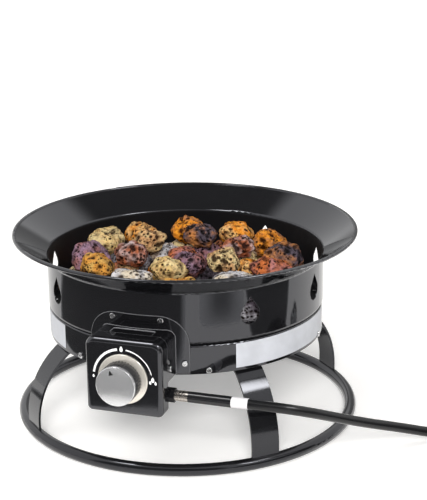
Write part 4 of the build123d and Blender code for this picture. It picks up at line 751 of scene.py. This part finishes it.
def arc_mark(start, end, start_width, end_width, steps=48):
    """Arc from one angle to another whose width changes evenly along it."""
    share = np.linspace(0, 1, steps)[:, None]
    across = np.linspace(-0.5, 0.5, 3)[None, :]
    angle = np.radians(start + (end - start) * share)
    reach = DIAL_RADIUS + across * (start_width + (end_width - start_width) * share)
    x = reach * np.cos(angle)
    z = KNOB_HEIGHT + reach * np.sin(angle)
    return np.stack([x, np.full_like(x, DIAL_Y), z], axis=-1)


def drop_mark(angle, radius, size):
    """Upright drop: half width 0.95 size (1 - s)^0.9 s^0.55 along its height, so it is round below and
    pointed above."""
    share = np.linspace(0, 1, 15)[:, None]
    across = np.linspace(-1, 1, 5)[None, :]
    half = 0.95 * size * (1 - share) ** 0.9 * share**0.55
    turn = math.radians(angle)
    x = radius * math.cos(turn) + across * half
    z = KNOB_HEIGHT + radius * math.sin(turn) + size * (share - 0.45) * 1.25 + 0 * across
    return np.stack([x, np.full_like(x, DIAL_Y), z], axis=-1)


flat_mark("dial_low_arc", arc_mark(172, 100, 0.0026, 0.0034), print_white)
flat_mark("dial_high_arc", arc_mark(83, 14, 0.0018, 0.0010), print_white)
for label, angle, radius, size in (
    ("low", 180.0, 0.0405, 0.0036),
    ("middle", 92.0, 0.0405, 0.0062),
    ("high_tall", 4.0, 0.0408, 0.0060),
    ("high_left", -1.5, 0.0372, 0.0042),
    ("high_right", -1.5, 0.0445, 0.0042),
):
    flat_mark(f"dial_{label}", drop_mark(angle, radius, size), print_white)
print("dial marks made")

# %% [markdown]
# ## Blank plates on the band
#
# Two long white plates lie on the lower band, one each side of the control box. They stay bare. Each is a
# strip bent to the band's own circle: one parameter is the angle round the bowl, the other is the height.

# %% Blank plates
PLATE_LOW = 0.1285
PLATE_HIGH = 0.1625
PLATE_PROUD = 0.0003
band_radius = max(abs(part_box("lower_band")[0].x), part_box("lower_band")[1].x)


def band_plate(name, start, end):
    """Strip of a cylinder from one azimuth to another, counted from the front towards +X."""
    radius = band_radius + PLATE_PROUD
    azimuth = np.radians(np.linspace(start, end, 61))[:, None]
    height = np.linspace(PLATE_LOW, PLATE_HIGH, 5)[None, :]
    x = radius * np.sin(azimuth) + 0 * height
    y = -radius * np.cos(azimuth) + 0 * height
    flat_mark(name, np.stack([x, y, height + 0 * azimuth], axis=-1), plate_stock)


band_plate("plate_right", 39.0, 99.0)
band_plate("plate_left", -99.0, -39.0)
print("band radius", round(band_radius, 4))

# %% [markdown]
# ## Strap round the coil
#
# A woven strap holds the coil's turns together. It is pulled tight, so its path is the outline of five
# hoses cut across: three on the floor and two on top. In each direction the path touches the hose that lies
# farthest that way, and between two hoses it is straight. The loose end lies on the outside and thins out
# at both of its ends.

# %% Strap round the coil
TIE_THICKNESS = 0.0012
TIE_WIDTH = 0.018
LOOP_STEPS = 160
TAIL_STEPS = 60
RIM_STEPS = 20
TAIL_LIFT = 0.00125
tie_hoses = np.array([(-PITCH, 0), (0, 0), (PITCH, 0), (-PITCH / 2, PITCH), (PITCH / 2, PITCH)])


def taut_path(share):
    """Outline of the hoses as a share of one turn: the centre of the hose that is farthest in a direction,
    plus the hose's radius and half the strap's thickness in that direction; and the direction."""
    turn = 2 * math.pi * share
    way = np.stack([np.cos(turn), np.sin(turn)], axis=-1)
    farthest = tie_hoses[(way @ tie_hoses.T).argmax(axis=1)]
    return farthest + way * (HOSE / 2 + TIE_THICKNESS / 2), way


def strap_points(share, lift, thin, narrow):
    """Strap surface: the path is lifted along its normal, and the section, a flat superellipse of power 4,
    is scaled in thickness and width."""
    path, out = taut_path(share)
    turn = 2 * math.pi * np.arange(RIM_STEPS) / RIM_STEPS
    wide = TIE_WIDTH / 2 * np.sign(np.cos(turn)) * np.abs(np.cos(turn)) ** 0.5
    thick = TIE_THICKNESS / 2 * np.sign(np.sin(turn)) * np.abs(np.sin(turn)) ** 0.5
    across = narrow[:, None] * wide[None, :]
    raised = lift + thin[:, None] * thick[None, :]
    flat = path[:, None, :] + out[:, None, :] * raised[..., None]
    side = np.array([-along[1], along[0], 0.0])
    middle = coil_centre + along * COIL_RADIUS
    return middle + flat[..., :1] * along + across[..., None] * side + flat[..., 1:] * np.array([0, 0, 1.0])


def tube_faces(rows, columns, closed, first):
    """Quads of a grid that is closed across, and along too if asked."""
    index = first + np.arange(rows * columns).reshape(rows, columns)
    ahead = np.roll(index, -1, axis=0)
    quads = np.stack([index, ahead, np.roll(ahead, -1, axis=1), np.roll(index, -1, axis=1)], axis=-1)
    return (quads if closed else quads[:-1]).reshape(-1, 4)


whole = np.ones(LOOP_STEPS)
loop = strap_points(np.arange(LOOP_STEPS) / LOOP_STEPS, 0.0, whole, whole)
ends = np.clip(np.minimum(np.linspace(0, 12, TAIL_STEPS), np.linspace(8, 0, TAIL_STEPS)), 0, 1) ** 0.5
tail_share = np.linspace(-0.02, 0.24, TAIL_STEPS)
tail = strap_points(tail_share, TAIL_LIFT, np.maximum(ends, 0.02), 0.94 * np.maximum(ends, 0.3))
loop_faces = tube_faces(LOOP_STEPS, RIM_STEPS, True, 0)
tail_faces = tube_faces(TAIL_STEPS, RIM_STEPS, False, LOOP_STEPS * RIM_STEPS)
strap_mesh = smooth_mesh(
    "tie_strap", np.vstack([loop.reshape(-1, 3), tail.reshape(-1, 3)]), np.vstack([loop_faces, tail_faces])
)
strap_mesh.materials.append(strap_cloth)
tie_strap = add_object("tie_strap", strap_mesh)
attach(tie_strap, BODY)
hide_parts("coil_tie")
print("strap quads", len(strap_mesh.polygons))

# %% [markdown]
#

print("hose and strap made")

# %% [markdown]
# ## Floor and room
#
# A product photograph on white: a pale floor that keeps the shadow, and an even white room. The world is
# plain white wherever the camera or a mirror-like surface looks at it, and lights the object less than
# that, so that the lamps can shape it.

# %% Floor and room
FLOOR_GLOW = 0.25
FLOOR_HALF = 9.0
ROOM_LIGHT = 0.25
WHITE = (1, 1, 1, 1)


def seen_or_mirrored(owner):
    """1 for rays from the camera, a mirror-like surface or glass, 0 for the rays that light the object."""
    rays = node(owner, "LightPath").outputs
    direct = combine(owner, "MAXIMUM", rays["Is Camera Ray"], rays["Is Glossy Ray"])
    return combine(owner, "MAXIMUM", direct, rays["Is Transmission Ray"])


floor_mat, floor_shader = finish("floor_white", (0.95, 0.935, 0.91), 0.6)
floor_shader.inputs["Specular IOR Level"].default_value = 0.1
floor_shader.inputs["Emission Color"].default_value = WHITE
floor_glow = spread(floor_mat, seen_or_mirrored(floor_mat), 0.0, FLOOR_GLOW)
wire(floor_mat, floor_glow, floor_shader.inputs["Emission Strength"])
floor_corners = FLOOR_HALF * np.array([(-1, -1, 0), (1, -1, 0), (1, 1, 0), (-1, 1, 0)])
floor_mesh = smooth_mesh("floor", floor_corners, np.array([(0, 1, 2, 3)]))
floor_mesh.materials.append(floor_mat)
add_object("floor", floor_mesh)

world = bpy.data.worlds.new("white_room")
bpy.context.scene.world = world
world.use_nodes = True
background = world.node_tree.nodes["Background"]
background.inputs["Color"].default_value = WHITE
wire(world, spread(world, seen_or_mirrored(world), ROOM_LIGHT, 1.0), background.inputs["Strength"])
print("floor and room", floor_mat.name, world.name)

# %% [markdown]
# ## Black flags and bright cards
#
# Black enamel has hardly any colour of its own, so its look is the room that it mirrors. Dark flags stand
# for the unlit room in front, overhead, behind and on the right, and small bright cards draw white lines
# along rounded edges. They show only in mirror-like surfaces. Each is a grid with a glow value on its
# points, which fades at the edges, so no reflection ends in a hard line.

# %% Black flags and bright cards
card_mat, card_shader = finish("studio_card", (0, 0, 0), 1.0)
card_shader.inputs["Emission Color"].default_value = WHITE
card_glow = node(card_mat, "Attribute", attribute_name="glow")
wire(card_mat, card_glow.outputs["Fac"], card_shader.inputs["Emission Strength"])
FLAG_LEVEL = 0.1
FLAG_LIFT = 0.001
DARK_REACH = 0.72


def edge_ramp(count, soft):
    """0 at both ends of a row of points and 1 inside: a smooth step over the soft share."""
    return smooth_step(np.minimum(np.linspace(0, 1, count), np.linspace(1, 0, count)) / soft)


def edge_fade(rows, columns, soft):
    """1 inside a sheet and 0 at its edges: the ramp along times the ramp across."""
    return edge_ramp(rows, soft)[:, None] * edge_ramp(columns, soft)[None, :]


def studio_card(name, points, levels):
    """A glowing sheet that only shows in mirror-like surfaces."""
    made = sheet_object(name, points, card_mat)
    glow_values = made.data.attributes.new("glow", "FLOAT", "POINT")
    glow_values.data.foreach_set("value", levels.ravel().astype(np.float32))
    made.visible_camera = False
    made.visible_diffuse = False
    made.visible_shadow = False


def floor_flag(name, near_span, far_span, near, far=2.6, level=FLAG_LEVEL, soft=0.035):
    """Patch of the floor with round corners, in polar form: the radius grows from near to far in even
    ratios, the azimuth's span changes with it, and the span shrinks at both ends as (1 - |2k -
    1|^6)^(1/6)."""
    rows, columns = 41, 61
    k = (0.5 - 0.5 * np.cos(np.linspace(0, math.pi, rows)))[:, None]
    across = np.linspace(-1, 1, columns)[None, :]
    radius = near * (far / near) ** k
    start = near_span[0] + (far_span[0] - near_span[0]) * k
    end = near_span[1] + (far_span[1] - near_span[1]) * k
    half = (end - start) / 2 * np.clip(1 - np.abs(2 * k - 1) ** 6, 0, 1) ** (1 / 6)
    azimuth = np.radians((start + end) / 2 + half * across)
    x = radius * np.sin(azimuth)
    y = -radius * np.cos(azimuth)
    points = np.stack([x, y, np.full_like(x, FLAG_LIFT)], axis=-1)
    studio_card(name, points, 1 - (1 - level) * edge_fade(rows, columns, soft))


def ceiling_flag(name, centre, half, height):
    """Ellipse overhead: a polar grid, dark in the middle and as bright as the room at its edge."""
    turn = np.linspace(0, 2 * math.pi, 65)[:, None]
    reach = np.linspace(0, 1, 21)[None, :]
    x = centre[0] + half[0] * reach * np.cos(turn)
    y = centre[1] + half[1] * reach * np.sin(turn)
    rise = smooth_step((reach - DARK_REACH) / (1 - DARK_REACH))
    levels = FLAG_LEVEL + (1 - FLAG_LEVEL) * rise + 0 * turn
    studio_card(name, np.stack([x, y, np.full_like(x, height)], axis=-1), levels)


def upright_flag(name, start, end, low, high, level):
    """Upright rectangle over a line on the floor."""
    rows, columns = 31, 21
    share, z = np.meshgrid(np.linspace(0, 1, rows), np.linspace(low, high, columns), indexing="ij")
    x = start[0] + (end[0] - start[0]) * share
    y = start[1] + (end[1] - start[1]) * share
    studio_card(name, np.stack([x, y, z], axis=-1), 1 - (1 - level) * edge_fade(rows, columns, 0.15))


def bright_card(name, place, width, height, strength):
    """Bright rectangle that faces the object."""
    side = 21
    place = np.array(place)
    ahead = np.array([0, 0, 0.15]) - place
    ahead /= np.linalg.norm(ahead)
    aside = np.cross(ahead, [0, 0, 1])
    aside /= np.linalg.norm(aside)
    upward = np.cross(aside, ahead)
    u = np.linspace(-width / 2, width / 2, side)[:, None, None]
    v = np.linspace(-height / 2, height / 2, side)[None, :, None]
    studio_card(name, place + u * aside + v * upward, strength * edge_fade(side, side, 0.3))


floor_flag("front_flag", (-92, 18), (-92, 21), 0.46)
floor_flag("right_flag", (64, 96), (60, 124), 0.56)
floor_flag("spot_flag", (28, 60), (30, 62), near=0.70, far=1.02, level=0.3, soft=0.45)
ceiling_flag("top_flag", (-0.15, 0.35), (1.5, 2.0), 2.4)
upright_flag("camera_flag", (-3.0, -2.7), (3.0, -2.7), 0.1, 3.2, FLAG_LEVEL)
upright_flag("right_wall_flag", (2.7, -2.9), (2.7, 1.1), -0.2, 1.35, FLAG_LEVEL)
upright_flag("back_flag", (-1.7, 3.0), (2.2, 3.0), -0.3, 1.45, 0.35)
bright_card("overhead_card", (-0.7, -0.75, 2.2), 0.9, 0.9, 11.0)
bright_card("right_card", (1.6, -0.47, 1.9), 1.0, 0.65, 17.0)
bright_card("back_card", (0.16, 1.05, 2.1), 0.16, 0.13, 5.0)
print("studio ready")

# %% [markdown]
# ## Lamps
#
# A broad key lamp overhead on the left shapes the rocks. A stronger fill lamp at the camera's side lights
# the floor in front, so the soft shadow lies under the bowl and behind it.

# %% Key and fill lamps


def soft_lamp(name, place, strength, spread_degrees):
    """Far lamp with soft edges that no mirror-like surface shows."""
    data = bpy.data.lights.new(name, "SUN")
    data.energy = strength
    data.angle = math.radians(spread_degrees)
    lamp = add_object(name, data)
    lamp.location = place
    lamp.rotation_euler = (-lamp.location).to_track_quat("-Z", "Y").to_euler()
    lamp.visible_glossy = False


soft_lamp("key", (-0.6, -0.8, 2.4), 1.2, 50)
soft_lamp("fill", (0.6, -1.87, 1.15), 3.3, 25)
print("lamps made")

# %% [markdown]
# ## Finish
#
# The looks must not change the object's size. The view layer is brought up to date.

# %% Update the view layer
bpy.context.view_layer.update()
